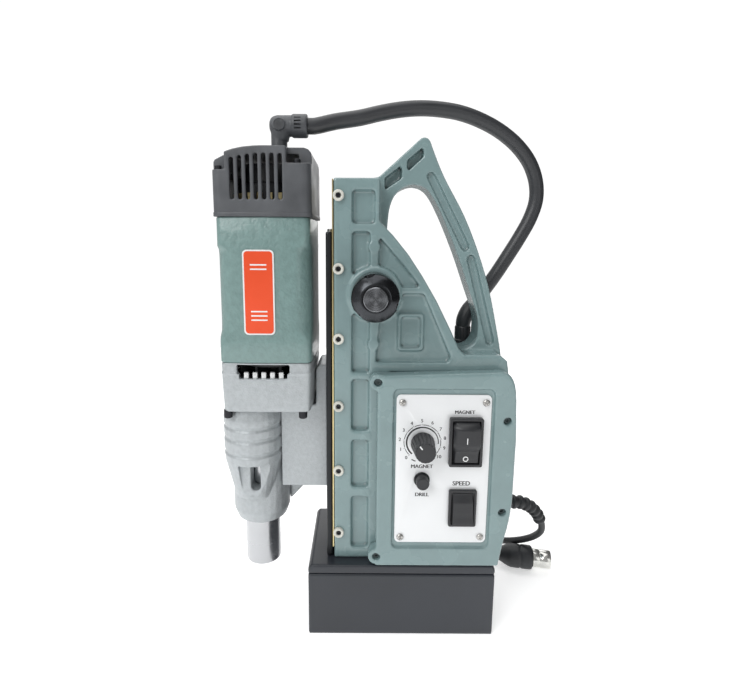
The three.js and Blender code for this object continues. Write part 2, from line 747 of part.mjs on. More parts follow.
// ---------------------------------------------------------------- carriage
{
  const railHalf = -frameFront - 1;
  const rail = outline([
    [railLeft, -railHalf],
    [railRight, -railHalf],
    [railRight, -tongueMouth / 2],
    [tongueRight, -tongueRoot / 2],
    [tongueRight, tongueRoot / 2],
    [railRight, tongueMouth / 2],
    [railRight, railHalf],
    [railLeft, railHalf],
  ]);
  add("slide_rail", planPlate(rail, railBottom, railTop), magnetPaint);

  // Rack teeth mesh with the pinion at rest: a gap sits opposite the pinion's tooth.
  const pitch = Math.PI * gearModule;
  const teeth = 24;
  const firstTooth = hubZ + pitch / 2 - 21 * pitch;
  const tipX = rackPitchX + gearModule * 0.95;
  const rootX = rackPitchX - gearModule * 1.25;
  const halfAt = (x) => pitch / 4 - 0.15 - (x - rackPitchX) * Math.tan(Math.PI / 9);
  const rack = [[rackLeft, firstTooth - pitch / 2]];
  for (let i = 0; i < teeth; i += 1) {
    const z = firstTooth + i * pitch;
    rack.push([rootX, z - halfAt(rootX)], [tipX, z - halfAt(tipX)], [tipX, z + halfAt(tipX)], [rootX, z + halfAt(rootX)]);
  }
  rack.push([rackLeft, firstTooth + (teeth - 0.5) * pitch]);
  add("feed_rack", sidePlate(outline(rack), -feedWidth / 2, feedWidth / 2), steel);

  const bracketHalf = 20;
  const low = 124.8;
  const bracketLeft = spindleX + 16.5;
  const side = outline([
    [bracketRight, low],
    [bracketLeft, low],
    [bracketLeft, noseTop + 0.1],
    [motorRight + GAP, noseTop + 0.1],
    [motorRight + GAP, 230],
    [motorRight + 3, 234.5],
    [bracketRight, 234.5],
  ]);
  const fin = outline([
    [bracketRight - 12, low + 1],
    [spindleX + 20, low + 1],
    [spindleX + 20, 101],
    [spindleX + noseLowRadius + 1, 100],
  ]);
  let bracket = joined(sidePlate(side, -bracketHalf, bracketHalf), sidePlate(fin, 4, 12));
  bracket = cut(
    bracket,
    bar("z", noseRadius + GAP, low - 40, noseTop + 1, noseX, noseY, 28),
    bar("z", noseLowRadius + GAP, low - 40, noseTop + 1, spindleX, 0, 28),
  );
  add("carriage_bracket", bracket, castSilver);
}

// ---------------------------------------------------------------- spindle housing and spindle
{
  const groove = 1.1;
  const rings = [[0, 150]];
  rings.push([noseRadius - 0.6, 150]);
  for (const z of [158.5, 171.5, 182]) {
    rings.push([noseRadius, z - 2.2], [noseRadius - groove, z - 0.9], [noseRadius - groove, z + 0.9], [noseRadius, z + 2.2]);
  }
  rings.push([noseRadius, 189], [noseRadius - 2, noseTop], [0, noseTop]);
  const lower = [
    [0, noseBottom],
    [18, noseBottom],
    [22.5, noseBottom + 3],
    [noseLowRadius, noseBottom + 11],
    [noseLowRadius, 128],
    [noseLowRadius - 1, noseTop],
    [0, noseTop],
  ];
  const upperFront = turned(rings, "z", noseX, noseY, 28);
  const taper = turned([[0, 116], [17.4, 116], [noseRadius - 0.6, 150.2], [0, 150.2]], "z", noseX, noseY, 28);
  let nose = joined(turned(lower, "z", spindleX, 0, 28), upperFront, taper);
  const pad = new THREE.Shape();
  pad.moveTo(spindleX - 13, 149.5);
  pad.lineTo(spindleX - 11.5, 124);
  pad.quadraticCurveTo(spindleX - 11, 119, spindleX - 6, 119);
  pad.lineTo(spindleX + 8, 119);
  pad.quadraticCurveTo(spindleX + 12.5, 119, spindleX + 12.5, 124);
  pad.lineTo(spindleX + 12.5, 149.5);
  const slot = roundedOutline(spindleX - 4, spindleX + 4.6, 124.5, 148.5, 4);
  nose = cut(
    nose,
    sidePlate(pad, -60, -29.5, 5),
    sidePlate(slot, -60, -5, 5),
    bar("z", spindleRadius + RUNNING, noseBottom - 1, noseTop + 1, spindleX, 0, 24),
    bar("z", 21, noseTop - 20, noseTop + 1, spindleX, 0, 24),
  );
  add("spindle_housing", nose, castSilver);
  add("spindle_bearing", ring("z", 21 - GAP, spindleRadius + RUNNING, noseTop - 19.7, noseTop - 8, spindleX, 0, 24), steel);

  const outputBottom = gearboxBottom + gearboxWall + 2;
  const spindle = turned([
    [0, spindleEnd],
    [spindleRadius - 0.8, spindleEnd],
    [spindleRadius, spindleEnd + 1],
    [spindleRadius, noseTop - 6],
    [7, noseTop - 6],
    [7, outputBottom + 9.5],
    [0, outputBottom + 9.5],
  ], "z", spindleX, 0, 24);
  add("spindle", cut(
    spindle,
    bar("z", spindleSocket, spindleEnd - 1, spindleEnd + 52, spindleX, 0, 20),
    bar("x", 3.2, spindleX - spindleRadius - 1, spindleX, 0, spindleEnd + 17, 10),
  ), steel);

  // Reduction gears: armature pinion, intermediate pair, output gear on the spindle.
  const firstDistance = ((motorPinionTeeth + firstGearTeeth) * firstModule) / 2;
  const secondDistance = ((secondPinionTeeth + outputTeeth) * secondModule) / 2;
  const offset = spindleX - motorX;
  const dx = (firstDistance ** 2 - secondDistance ** 2 + offset ** 2) / (2 * offset);
  const dy = Math.sqrt(firstDistance ** 2 - dx ** 2);
  const middle = [motorX + dx, dy];
  const towards = (from, to) => Math.atan2(to[1] - from[1], to[0] - from[0]);
  const firstAngle = towards([motorX, 0], middle);
  const secondAngle = towards(middle, [spindleX, 0]);
  const gear = (teeth, module, start, z0, z1, [x, y]) => (
    planPlate(outline(gearOutline(teeth, module, start)), z0, z1).translate([x, y, 0])
  );
  const lowZ = outputBottom;
  const highZ = outputBottom + 10.5;
  const outputGear = gear(
    outputTeeth,
    secondModule,
    secondAngle + Math.PI + Math.PI / outputTeeth,
    lowZ,
    lowZ + 8,
    [spindleX, 0],
  );
  add("output_gear", outputGear.subtract(bar("z", 7 + GAP, lowZ - 1, lowZ + 9, spindleX, 0, 24)), steel);
  add("intermediate_gear", joined(
    gear(secondPinionTeeth, secondModule, secondAngle, lowZ, highZ + 0.1, middle),
    gear(firstGearTeeth, firstModule, firstAngle + Math.PI + Math.PI / firstGearTeeth, highZ, highZ + 7, middle),
    bar("z", 3.5, lowZ - 1.5, highZ + 9, ...middle, 14),
  ), steel);

  const plateBottom = highZ + 8;
  const shell = roundedOutline(motorLeft, motorRight, motorFront, -motorFront, motorCorner);
  const hollow = roundedOutline(
    motorLeft + gearboxWall,
    motorRight - gearboxWall,
    motorFront + gearboxWall,
    -motorFront - gearboxWall,
    motorCorner - gearboxWall,
  );
  const windowLeft = motorX - 23.4;
  const windowRight = motorX + 19.1;
  const windowBottom = gearboxTop - 13.2;
  const windowTop = gearboxTop - 1.6;
  const windowTeeth = 5;
  let gearbox = cut(
    planPlate(shell, gearboxBottom, gearboxTop, 5),
    planPlate(hollow, gearboxBottom + gearboxWall, gearboxTop + 1, 4),
    bar("z", 9, gearboxBottom - 1, gearboxBottom + gearboxWall + 1, spindleX, 0, 18),
    bar("z", 3.5 + RUNNING, gearboxBottom + 1.2, gearboxBottom + gearboxWall + 1, ...middle, 14),
  );
  for (const y of [motorFront, -motorFront]) {
    let window = block(windowLeft, windowRight, y - 5, y + 5, windowBottom, windowTop);
    for (let i = 0; i < windowTeeth; i += 1) {
      const x = windowLeft + ((i + 1) * (windowRight - windowLeft)) / (windowTeeth + 1);
      window = window.subtract(block(x - 2, x + 2, y - 6, y + 6, windowBottom - 1, windowBottom + 5));
    }
    gearbox = gearbox.subtract(window);
  }
  add("gearbox_housing", gearbox, castSilver);
  const inside = roundedOutline(
    motorLeft + gearboxWall + GAP,
    motorRight - gearboxWall - GAP,
    motorFront + gearboxWall + GAP,
    -motorFront - gearboxWall - GAP,
    motorCorner - gearboxWall,
  );
  add("gearbox_plate", cut(
    planPlate(inside, plateBottom, plateBottom + 3, 3),
    bar("z", 9, plateBottom - 1, plateBottom + 4, motorX, 0, 16),
    bar("z", 3.5 + RUNNING, plateBottom - 1, plateBottom + 4, ...middle, 14),
  ), steel);

  const stackBottom = motorBottom + 22;
  const stackTop = motorTop - 26;
  const shaft = 5;
  const fanBottom = plateBottom + 4;
  const pinionBottom = highZ - 0.5;
  add("motor_armature", joined(
    gear(motorPinionTeeth, firstModule, firstAngle, pinionBottom, plateBottom - 0.4, [motorX, 0]),
    bar("z", shaft, plateBottom - 0.5, motorTop - 3, motorX, 0, 14),
    bar("z", 23.4, stackBottom, stackTop, motorX, 0, 24),
    bar("z", 12, stackTop - 0.1, stackTop + 12, motorX, 0, 16),
  ), darkSteel);
  let fan = ring("z", 12, shaft + GAP, fanBottom, fanBottom + 10, motorX, 0, 16);
  fan = fan.add(ring("z", 33, shaft + GAP, fanBottom + 8, fanBottom + 10, motorX, 0, 28));
  for (let i = 0; i < 10; i += 1) {
    const blade = block(11, 32.5, -0.9, 0.9, fanBottom, fanBottom + 8.1);
    fan = fan.add(blade.rotate([0, 0, i * 36]).translate([motorX, 0, 0]));
  }
  add("motor_fan", fan, blackPlastic);

  const bore = bar("z", motorBore, motorBottom - 1, motorTop + 1, motorX, 0, 32);
  add("motor_housing", planPlate(shell, motorBottom, motorTop, 6).subtract(bore), paint);
  add("motor_stator", ring("z", motorBore - GAP, 24, stackBottom, stackTop, motorX, 0, 28), steel);
  add("brush_carrier", cut(
    bar("z", motorBore - GAP, motorTop - 12, motorTop - 1, motorX, 0, 28),
    bar("z", 13, motorTop - 13, motorTop - 5, motorX, 0, 18),
    bar("z", shaft + RUNNING, motorTop - 6, motorTop + 1, motorX, 0, 14),
  ), blackPlastic);
  const label = roundedOutline(motorX - 15.8, motorX + 8.8, motorBottom + 23.3, motorBottom + 90.3, 3.5);
  add("motor_label", sidePlate(label, motorFront - 1, motorFront - GAP, 4), orange);

  // End cap sloping down to the left, with slots and screw notches front and back, hollow inside.
  const side = new THREE.Shape();
  side.moveTo(motorLeft, capBottom);
  side.lineTo(motorRight, capBottom);
  side.lineTo(motorRight, capTop - 7);
  side.quadraticCurveTo(motorRight, capTop, motorRight - 7, capTop);
  side.lineTo(motorX, capTop);
  side.quadraticCurveTo(motorLeft + 16, capTop - 1, motorLeft + 1.2, capTop - 9.4);
  side.lineTo(motorLeft, capTop - 12);
  const capHollow = (x0, x1, top) => (
    block(x0, x1, motorFront + capWall, -motorFront - capWall, capBottom - 1, top)
  );
  let cap = sidePlate(side, motorFront - 1, -motorFront + 1, 6);
  cap = cap.intersect(planPlate(shell, capBottom - 1, capTop + 1, 5));
  cap = cut(
    cap,
    capHollow(motorLeft + capWall, motorRight - capWall, capTop - 20),
    capHollow(motorLeft + 14, motorRight - 10, capTop - 5),
  );
  const slotPitch = 6.12;
  const firstSlot = motorX - 22.2;
  const notchDepth = 8.5;
  for (const end of [-1, 1]) {
    const face = -end * motorFront;
    const through = (inside, outside) => [face - end * inside, face + end * outside].sort((a, b) => a - b);
    for (let i = 0; i < 7; i += 1) {
      const x = firstSlot + i * slotPitch;
      const top = capTop - (i < 2 ? 8 - 1.5 * i : 5.4);
      cap = cap.subtract(sidePlate(roundedOutline(x - 1.6, x + 1.6, capBottom + 12.8, top, 1.5), ...through(8, 2), 1));
    }
    cap = cut(
      cap,
      block(motorX + 19.4, motorRight + 1, ...through(notchDepth, 1), capTop - 12.5, capTop + 1),
      block(motorLeft - 1, motorX - 27.4, ...through(notchDepth, 1), capTop - 17.5, capTop + 1),
    );
  }
  add("motor_cap", cap, blackPlastic);
}

// ---------------------------------------------------------------- hose from motor to control box
const elbow = { x: -102.3, y: -15, z: 428.6, radius: 8.1, end: -79.4 };
const gland = { x: 58, y: 21.8, radius: 7.4 };
const hoseEnd = { x: 68.6, y: 25.2, z: 283 };
{
  const foot = capTop + GAP;
  add("hose_elbow", joined(
    bar("z", 8, foot, foot + 3, elbow.x, elbow.y, 16),
    bar("z", 6.2, foot + 2.9, elbow.z, elbow.x, elbow.y, 16),
    bar("x", elbow.radius, elbow.x - 5, elbow.end - 12, elbow.y, elbow.z, 18),
    bar("x", elbow.radius + 1, elbow.end - 12.1, elbow.end, elbow.y, elbow.z, 18),
    bar("y", 5, elbow.y - elbow.radius - 1.6, elbow.y, elbow.x + 1, elbow.z, 14),
  ), blackPlastic);
  const hosePoints = [
    [elbow.end + GAP, elbow.y, elbow.z],
    [elbow.end + 5, elbow.y, elbow.z],
    [-58, -12, 432.8],
    [-38, -7, 437],
    [-21.6, -3, 441.6],
    [-5, 1, 445.4],
    [12, 5, 447.6],
    [29, 9, 447.8],
    [47, 13, 446],
    [65, 17, 441.2],
    [83, 21, 433.4],
    [100, 25, 422],
    [113, 28.5, 408],
    [120.5, 31, 392],
    [122, 32, 376],
    [117.6, 32, 360],
    [109.3, 31.5, 343.6],
    [98.5, 30.5, 325.5],
    [87, 28.8, 307.5],
    [hoseEnd.x + 7.2, hoseEnd.y + 1.9, hoseEnd.z + 9],
    [hoseEnd.x + 0.4, hoseEnd.y + 0.12, hoseEnd.z + 0.5],
  ];
  add("motor_hose", tube(hosePoints, hoseDiameter, 34), rubber);
  const { radius } = gland;
  const nutTop = shelfTop + 15;
  const boot = [
    [gland.x, gland.y, nutTop - 0.2],
    [gland.x + 0.6, gland.y, nutTop + 5],
    [gland.x + 4.5, gland.y + 1, nutTop + 13.5],
    [hoseEnd.x, hoseEnd.y, hoseEnd.z],
  ];
  add("hose_gland", joined(
    bar("z", radius + 0.6, shelfTop + GAP, shelfTop + 3, gland.x, gland.y, 18),
    bar("z", radius, shelfTop + 2.9, nutTop, gland.x, gland.y, 18),
    tube(boot, hoseDiameter + 1.6, 6, 12),
  ), blackPlastic);
}

// ---------------------------------------------------------------- supply lead
{
  const exit = [boxRight + GAP, 14, 86];
  const reliefPoints = [
    exit,
    [105, 15, 90],
    [117, 16.5, 90],
    [129, 19, 84.5],
    [138.5, 22.5, 74.5],
    [143, 25.5, 66],
  ];
  add("strain_relief", tube(reliefPoints, 14, 10, 10), rubber);
  const cordPoints = [
    [143.15, 25.6, 65.72],
    [145.8, 27.4, 60.6],
    [147.5, 32, 50],
    [143.5, 42, 37],
    [133, 55, 24.5],
    [117, 72, 13],
    [97, 88, 6],
    [74, 98, 3.6],
    [52, 99, 3.5],
    [34, 91, 3.5],
    [26.5, 76, 3.5],
    [33, 60, 3.5],
    [50, 53, 3.5],
    [69, 52.5, 4.3],
    [86, 52.6, 8.5],
    [101, 51.8, 12],
    [107.7, 50.5, 12.4],
  ];
  add("power_cord", tube(cordPoints, cordDiameter, 44, 8), rubber);
  // The connector lies on the floor, its nose turned a little towards the front.
  const boot = [108, 50.4, 12.4];
  const noseTurn = 0.2;
  const along = (profile, sides) => {
    const geometry = new THREE.LatheGeometry(profile.map(([r, h]) => new THREE.Vector2(r, h)), sides);
    geometry.rotateZ(-Math.PI / 2 - noseTurn).translate(...boot);
    return solid(geometry);
  };
  add("connector_boot", along([[0, 0], [6, 0], [7.5, 6], [10.5, 12], [11.8, 16], [11.8, 34], [10.5, 37], [0, 37]], 28), rubber);
  const shell = along([[0, 37.3], [9, 37.3], [9, 55], [0, 55]], 28);
  add("connector_shell", shell.subtract(along([[0, 46], [7.4, 46], [7.4, 58], [0, 58]], 28)), steel);
}

export default group;
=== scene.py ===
import math

import bmesh
import bpy
from mathutils import Matrix, Vector


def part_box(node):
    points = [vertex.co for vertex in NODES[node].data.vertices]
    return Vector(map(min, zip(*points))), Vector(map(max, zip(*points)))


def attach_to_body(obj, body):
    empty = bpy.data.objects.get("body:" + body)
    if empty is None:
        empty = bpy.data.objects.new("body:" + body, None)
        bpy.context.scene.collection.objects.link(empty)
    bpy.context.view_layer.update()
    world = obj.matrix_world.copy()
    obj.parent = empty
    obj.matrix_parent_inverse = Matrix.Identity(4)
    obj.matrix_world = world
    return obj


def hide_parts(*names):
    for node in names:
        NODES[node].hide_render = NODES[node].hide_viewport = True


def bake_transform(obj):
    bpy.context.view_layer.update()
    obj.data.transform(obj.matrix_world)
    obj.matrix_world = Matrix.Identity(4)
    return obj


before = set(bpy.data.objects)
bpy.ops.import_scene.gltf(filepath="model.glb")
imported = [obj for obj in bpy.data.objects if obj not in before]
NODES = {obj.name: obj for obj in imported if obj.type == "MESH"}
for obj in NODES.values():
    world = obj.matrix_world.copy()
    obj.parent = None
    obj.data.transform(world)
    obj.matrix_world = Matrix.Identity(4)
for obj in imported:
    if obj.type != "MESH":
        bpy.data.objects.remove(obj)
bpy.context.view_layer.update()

MM = 0.001
TURN = 2 * math.pi
TINY = 1e-6
scene = bpy.context.scene

# ---------------------------------------------------------------- sizes that the pieces share, in millimetres
COVER_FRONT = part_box("control_cover")[0].y / MM
PANEL_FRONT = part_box("panel_plate")[0].y / MM
FRAME_FRONT = -35.0
# Middles on the front, as (x, z).
HUB = (-25.5, 296.6)
DIAL = (14.5, 177.0)
BUTTON = (14.8, 144.7)
MAGNET_SWITCH = (49.3, 178.5)
SPEED_SWITCH = (48.8, 120.5)
# The motor, its cap and the gear case stand on one axis; the spindle has its own.
MOTOR_X, MOTOR_HALF_WIDTH, MOTOR_HALF_DEPTH = -112.6, 38.0, 43.0
MOTOR_LOW, MOTOR_HIGH = 241.3, 356.3
CAP_LOW, CAP_HIGH = 356.6, 409.1
GEARS_LOW, GEARS_HIGH = 199.5, 241.0
SPINDLE_X, SPINDLE_LOW = -126.3, 44.5
ELBOW = (-102.3, -15, 428.6)
GLAND = (58, 21.8)  # x, y
# Screws, again as (x, z), and the row of slots in the cap.
EAR_HOLES = [(-22, 227), (-22, 74.5), (83, 195.5), (82.5, 116)]
PANEL_SCREWS = [(-2.2, 210.8), (65.1, 211.0), (-2.3, 93.3), (64.9, 93.7)]
GIB_SCREW_X, GIB_SCREW_LOW, GIB_SCREW_STEP = -54.2, 90, 56.7
CAP_SLOT_FIRST, CAP_SLOT_STEP, CAP_SLOT_LOW = -134.8, 6.12, 369.4
CAP_SLOT_TOPS = (400.6, 402.0, 403.0, 403.7, 403.9, 403.9, 403.7)
DIAL_START, DIAL_SWEEP, DIAL_STEPS = 226, 268, 10  # two angles in degrees, then steps from 0 to 10

# The hose and the supply lead run through these points, the same as their solids.
HOSE_WAY = [
    (-79.1, -15, 428.6), (-74.4, -15, 428.6), (-58, -12, 432.8), (-38, -7, 437), (-21.6, -3, 441.6),
    (-5, 1, 445.4), (12, 5, 447.6), (29, 9, 447.8), (47, 13, 446), (65, 17, 441.2), (83, 21, 433.4),
    (100, 25, 422), (113, 28.5, 408), (120.5, 31, 392), (122, 32, 376), (117.6, 32, 360),
    (109.3, 31.5, 343.6), (98.5, 30.5, 325.5), (87, 28.8, 307.5), (75.8, 27.1, 292), (69, 25.32, 283.5),
]
HOSE_THICK = 12.6
LEAD_WAY = [
    (143.15, 25.6, 65.72), (145.8, 27.4, 60.6), (147.5, 32, 50), (143.5, 42, 37), (133, 55, 24.5),
    (117, 72, 13), (97, 88, 6), (74, 98, 3.6), (52, 99, 3.5), (34, 91, 3.5), (26.5, 76, 3.5),
    (33, 60, 3.5), (50, 53, 3.5), (69, 52.5, 4.3), (86, 52.6, 8.5), (101, 51.8, 12), (107.7, 50.5, 12.4),
]
LEAD_THICK = 6.6
RELIEF_WAY = [
    (91.3, 14, 86), (105, 15, 90), (117, 16.5, 90), (129, 19, 84.5), (138.5, 22.5, 74.5), (143, 25.5, 66),
]
BOOT_WAY = [(58, 21.8, 261.8), (58.6, 21.8, 267), (62.5, 22.8, 275.5), (68.6, 25.2, 283)]


# ---------------------------------------------------------------- camera, light and floor, in metres
CAMERA_PLACE = (-0.0369, -0.4290, 0.3397)
CAMERA_TILT, CAMERA_ROLL = 9.22, 0.35  # degrees down from level, and about the line of sight
CAMERA_SENSOR, CAMERA_LENS = 36, 24.32
CAMERA_SHIFT = (0.0089, -0.0409)
ROOM_LEFT, ROOM_RIGHT, BACKDROP = 0.52, 0.10, 1.05
LIGHTS = (  # name, place, aim, width, height, power
    ("front_left", (-0.75, -0.9, 1.1), (-0.06, 0, 0.28), 0.8, 0.9, 9.5),
    ("front_right", (0.9, -1.3, 0.6), (0.05, 0, 0.15), 0.6, 1.0, 2.2),
    ("overhead", (-0.1, 0.1, 1.5), (0, 0, 0), 1.4, 1.4, 9),
    ("behind", (0.2, 1.5, 0.9), (0, 0, 0.2), 1.4, 1.0, 6),
)
FLOOR_HALF, FLOOR_GLOW = 1.1, 0.5


def set_up_camera():
    data = bpy.data.cameras.new("view")
    data.sensor_width = CAMERA_SENSOR
    data.lens = CAMERA_LENS
    data.shift_x, data.shift_y = CAMERA_SHIFT
    data.clip_start = 0.01
    camera = bpy.data.objects.new("view", data)
    scene.collection.objects.link(camera)
    tilt = Matrix.Rotation(math.radians(90 - CAMERA_TILT), 4, "X")
    roll = Matrix.Rotation(math.radians(CAMERA_ROLL), 4, "Z")
    camera.matrix_world = Matrix.Translation(CAMERA_PLACE) @ tilt @ roll
    scene.camera = camera


def soft_light(name, place, aim, width, height, power):
    data = bpy.data.lights.new(name, "AREA")
    data.shape = "RECTANGLE"
    data.size = width
    data.size_y = height
    data.energy = power
    light = bpy.data.objects.new(name, data)
    light.location = place
    light.rotation_euler = (Vector(aim) - Vector(place)).to_track_quat("-Z", "Y").to_euler()
    scene.collection.objects.link(light)


def set_up_light():
    """A room that is bright on the left and dim on the right, with a white backdrop, and four lamps."""
    world = bpy.data.worlds.new("studio")
    world.use_nodes = True
    tree = world.node_tree
    back = tree.nodes["Background"]
    back.inputs["Color"].default_value = (1, 1, 1, 1)
    seen = tree.nodes.new("ShaderNodeLightPath")
    where = tree.nodes.new("ShaderNodeTexCoord")
    sides = tree.nodes.new("ShaderNodeSeparateXYZ")
    tree.links.new(where.outputs["Generated"], sides.inputs[0])
    room = range_in(tree, sides.outputs["X"], -0.7, 0.8, ROOM_LEFT, ROOM_RIGHT)
    level = range_in(tree, seen.outputs["Is Camera Ray"], 0, 1, room, BACKDROP)
    tree.links.new(level, back.inputs["Strength"])
    scene.world = world
    for lamp in LIGHTS:
        soft_light(*lamp)
    scene.view_settings.view_transform = "Standard"


def lay_floor():
    bm = bmesh.new()
    bmesh.ops.create_grid(bm, x_segments=4, y_segments=4, size=FLOOR_HALF)
    floor = keep("floor", bm)
    material, shader = blank_material("pale_floor")
    shader.inputs["Base Color"].default_value = (0.93, 0.93, 0.93, 1)
    shader.inputs["Roughness"].default_value = 0.9
    shader.inputs["Emission Color"].default_value = (1, 1, 1, 1)
    shader.inputs["Emission Strength"].default_value = FLOOR_GLOW
    floor.data.materials.append(material)


# ---------------------------------------------------------------- making meshes
def as_piece(name, bm):
    """Puts a bmesh into a new object at the origin."""
    mesh = bpy.data.meshes.new(name)
    bm.to_mesh(mesh)
    bm.free()
    piece = bpy.data.objects.new(name, mesh)
    scene.collection.objects.link(piece)
    return piece


def keep(name, bm, sharp=None):
    """Merges doubles and points the faces outwards; edges past the sharp angle stay crisp."""
    bmesh.ops.remove_doubles(bm, verts=bm.verts, dist=1e-7)
    bmesh.ops.recalc_face_normals(bm, faces=bm.faces)
    piece = as_piece(name, bm)
    shade(piece, sharp)
    return piece


def shade(piece, sharp=None):
    piece.data.polygons.foreach_set("use_smooth", [True] * len(piece.data.polygons))
    if sharp is not None:
        piece.data.set_sharp_from_angle(angle=math.radians(sharp))


def settle(piece, sharp=None):
    """Puts the modifiers into the mesh."""
    bpy.context.view_layer.update()
    graph = bpy.context.evaluated_depsgraph_get()
    made = bpy.data.meshes.new_from_object(piece.evaluated_get(graph), depsgraph=graph)
    old = piece.data
    piece.modifiers.clear()
    piece.data = made
    made.name = piece.name
    if old.users == 0:
        bpy.data.meshes.remove(old)
    shade(piece, sharp)
    return piece


def drop(*pieces):
    for piece in pieces:
        bpy.data.objects.remove(piece)


def rounded(piece, width, steps=3, angle=30, sharp=None):
    bevel = piece.modifiers.new("round", "BEVEL")
    bevel.width = width * MM
    bevel.segments = steps
    bevel.limit_method = "ANGLE"
    bevel.angle_limit = math.radians(angle)
    return settle(piece, sharp)


def carved(piece, *cutters, mode="DIFFERENCE"):
    for cutter in cutters:
        step = piece.modifiers.new("carve", "BOOLEAN")
        step.operation = mode
        step.solver = "EXACT"
        step.object = cutter
        settle(piece)
        drop(cutter)
    return piece


def cast(piece, voxel, passes, share=1.0):
    """Gives a piece the soft edges of a casting, keeping about that share of its faces; voxel in mm."""
    remesh = piece.modifiers.new("voxels", "REMESH")
    remesh.mode = "VOXEL"
    remesh.voxel_size = voxel * MM
    smooth = piece.modifiers.new("soften", "SMOOTH")
    smooth.factor = 0.5
    smooth.iterations = passes
    if share < 1:
        thin = piece.modifiers.new("thin", "DECIMATE")
        thin.ratio = share
    return settle(piece)


def copy_of(name, node):
    """A merged copy of a CAD node, for a piece that takes its place."""
    bm = bmesh.new()
    bm.from_mesh(NODES[node].data)
    bmesh.ops.remove_doubles(bm, verts=bm.verts, dist=2e-6)
    piece = as_piece(name, bm)
    piece.data.materials.clear()
    return piece


def joined(name, *pieces):
    bm = bmesh.new()
    for piece in pieces:
        bm.from_mesh(piece.data)
    whole = as_piece(name, bm)
    drop(*pieces)
    shade(whole)
    return whole


def axes_of(axis):
    """The two cross directions and the direction of a turned or pushed piece."""
    along = {"x": Vector((1, 0, 0)), "y": Vector((0, 1, 0)), "z": Vector((0, 0, 1))}.get(axis)
    along = along or Vector(axis).normalized()
    side = Vector((0, 0, 1)) if abs(along.z) < 0.9 else Vector((1, 0, 0))
    across = along.cross(side).normalized()
    return across, along.cross(across), along


def turned(name, profile, axis, centre, sides=64, sharp=35):
    """A turned piece: the profile lists (radius, distance along the axis), from axis to axis."""
    across, up, along = axes_of(axis)
    bm = bmesh.new()
    rows = []
    for radius, reach in profile:
        base = Vector(centre) + along * reach
        if radius < TINY:
            rows.append([bm.verts.new(base * MM)])
            continue
        spots = [i * TURN / sides for i in range(sides)]
        rows.append([
            bm.verts.new((base + (across * math.cos(a) + up * math.sin(a)) * radius) * MM)
            for a in spots
        ])
    for low, high in zip(rows, rows[1:]):
        for i in range(sides):
            j = (i + 1) % sides
            if len(low) == 1 and len(high) == 1:
                continue
            if len(low) == 1:
                bm.faces.new((low[0], high[i], high[j]))
            elif len(high) == 1:
                bm.faces.new((low[i], low[j], high[0]))
            else:
                bm.faces.new((low[i], low[j], high[j], high[i]))
    return keep(name, bm, sharp)


def bar(axis, radius, low, high, centre, sides=32):
    """A round bar along an axis, between two distances from its centre."""
    return turned("bar", [(0, low), (radius, low), (radius, high), (0, high)], axis, centre, sides)


def pushed(name, points, axis, low, high, sharp=35):
    """A flat outline pushed along X, Y or Z: its points are (y, z), (x, z) or (x, y)."""
    spot = {
        "x": lambda a, b, h: (h, a, b),
        "y": lambda a, b, h: (a, h, b),
        "z": lambda a, b, h: (a, b, h),
    }[axis]
    bm = bmesh.new()
    rings = [[bm.verts.new(Vector(spot(a, b, h)) * MM) for a, b in points] for h in (low, high)]
    count = len(points)
    for i in range(count):
        j = (i + 1) % count
        bm.faces.new((rings[0][i], rings[0][j], rings[1][j], rings[1][i]))
    bm.faces.new(rings[0])
    bm.faces.new(rings[1])
    return keep(name, bm, sharp)


def block(x0, x1, y0, y1, z0, z1):
    return pushed("block", [(x0, y0), (x1, y0), (x1, y1), (x0, y1)], "z", z0, z1)


def corner_arc(cx, cy, radius, start, steps):
    """A quarter circle about (cx, cy), from an angle in radians."""
    angles = [start + i * math.pi / 2 / steps for i in range(steps + 1)]
    return [(cx + radius * math.cos(a), cy + radius * math.sin(a)) for a in angles]


def rounded_box(x0, x1, y0, y1, radius, steps=6):
    left, right, low, high = x0 + radius, x1 - radius, y0 + radius, y1 - radius
    corners = ((right, high), (left, high), (left, low), (right, low))
    return [
        spot
        for i, (cx, cy) in enumerate(corners)
        for spot in corner_arc(cx, cy, radius, i * math.pi / 2, steps)
    ]


def lofted(name, levels, sharp=None):
    """A closed skin through rings of points, each with the same count; the ends are capped."""
    bm = bmesh.new()
    rings = [[bm.verts.new(Vector(p) * MM) for p in ring] for ring in levels]
    count = len(rings[0])
    for low, high in zip(rings, rings[1:]):
        for i in range(count):
            j = (i + 1) % count
            bm.faces.new((low[i], low[j], high[j], high[i]))
    bm.faces.new(rings[0])
    bm.faces.new(rings[-1])
    return keep(name, bm, sharp)


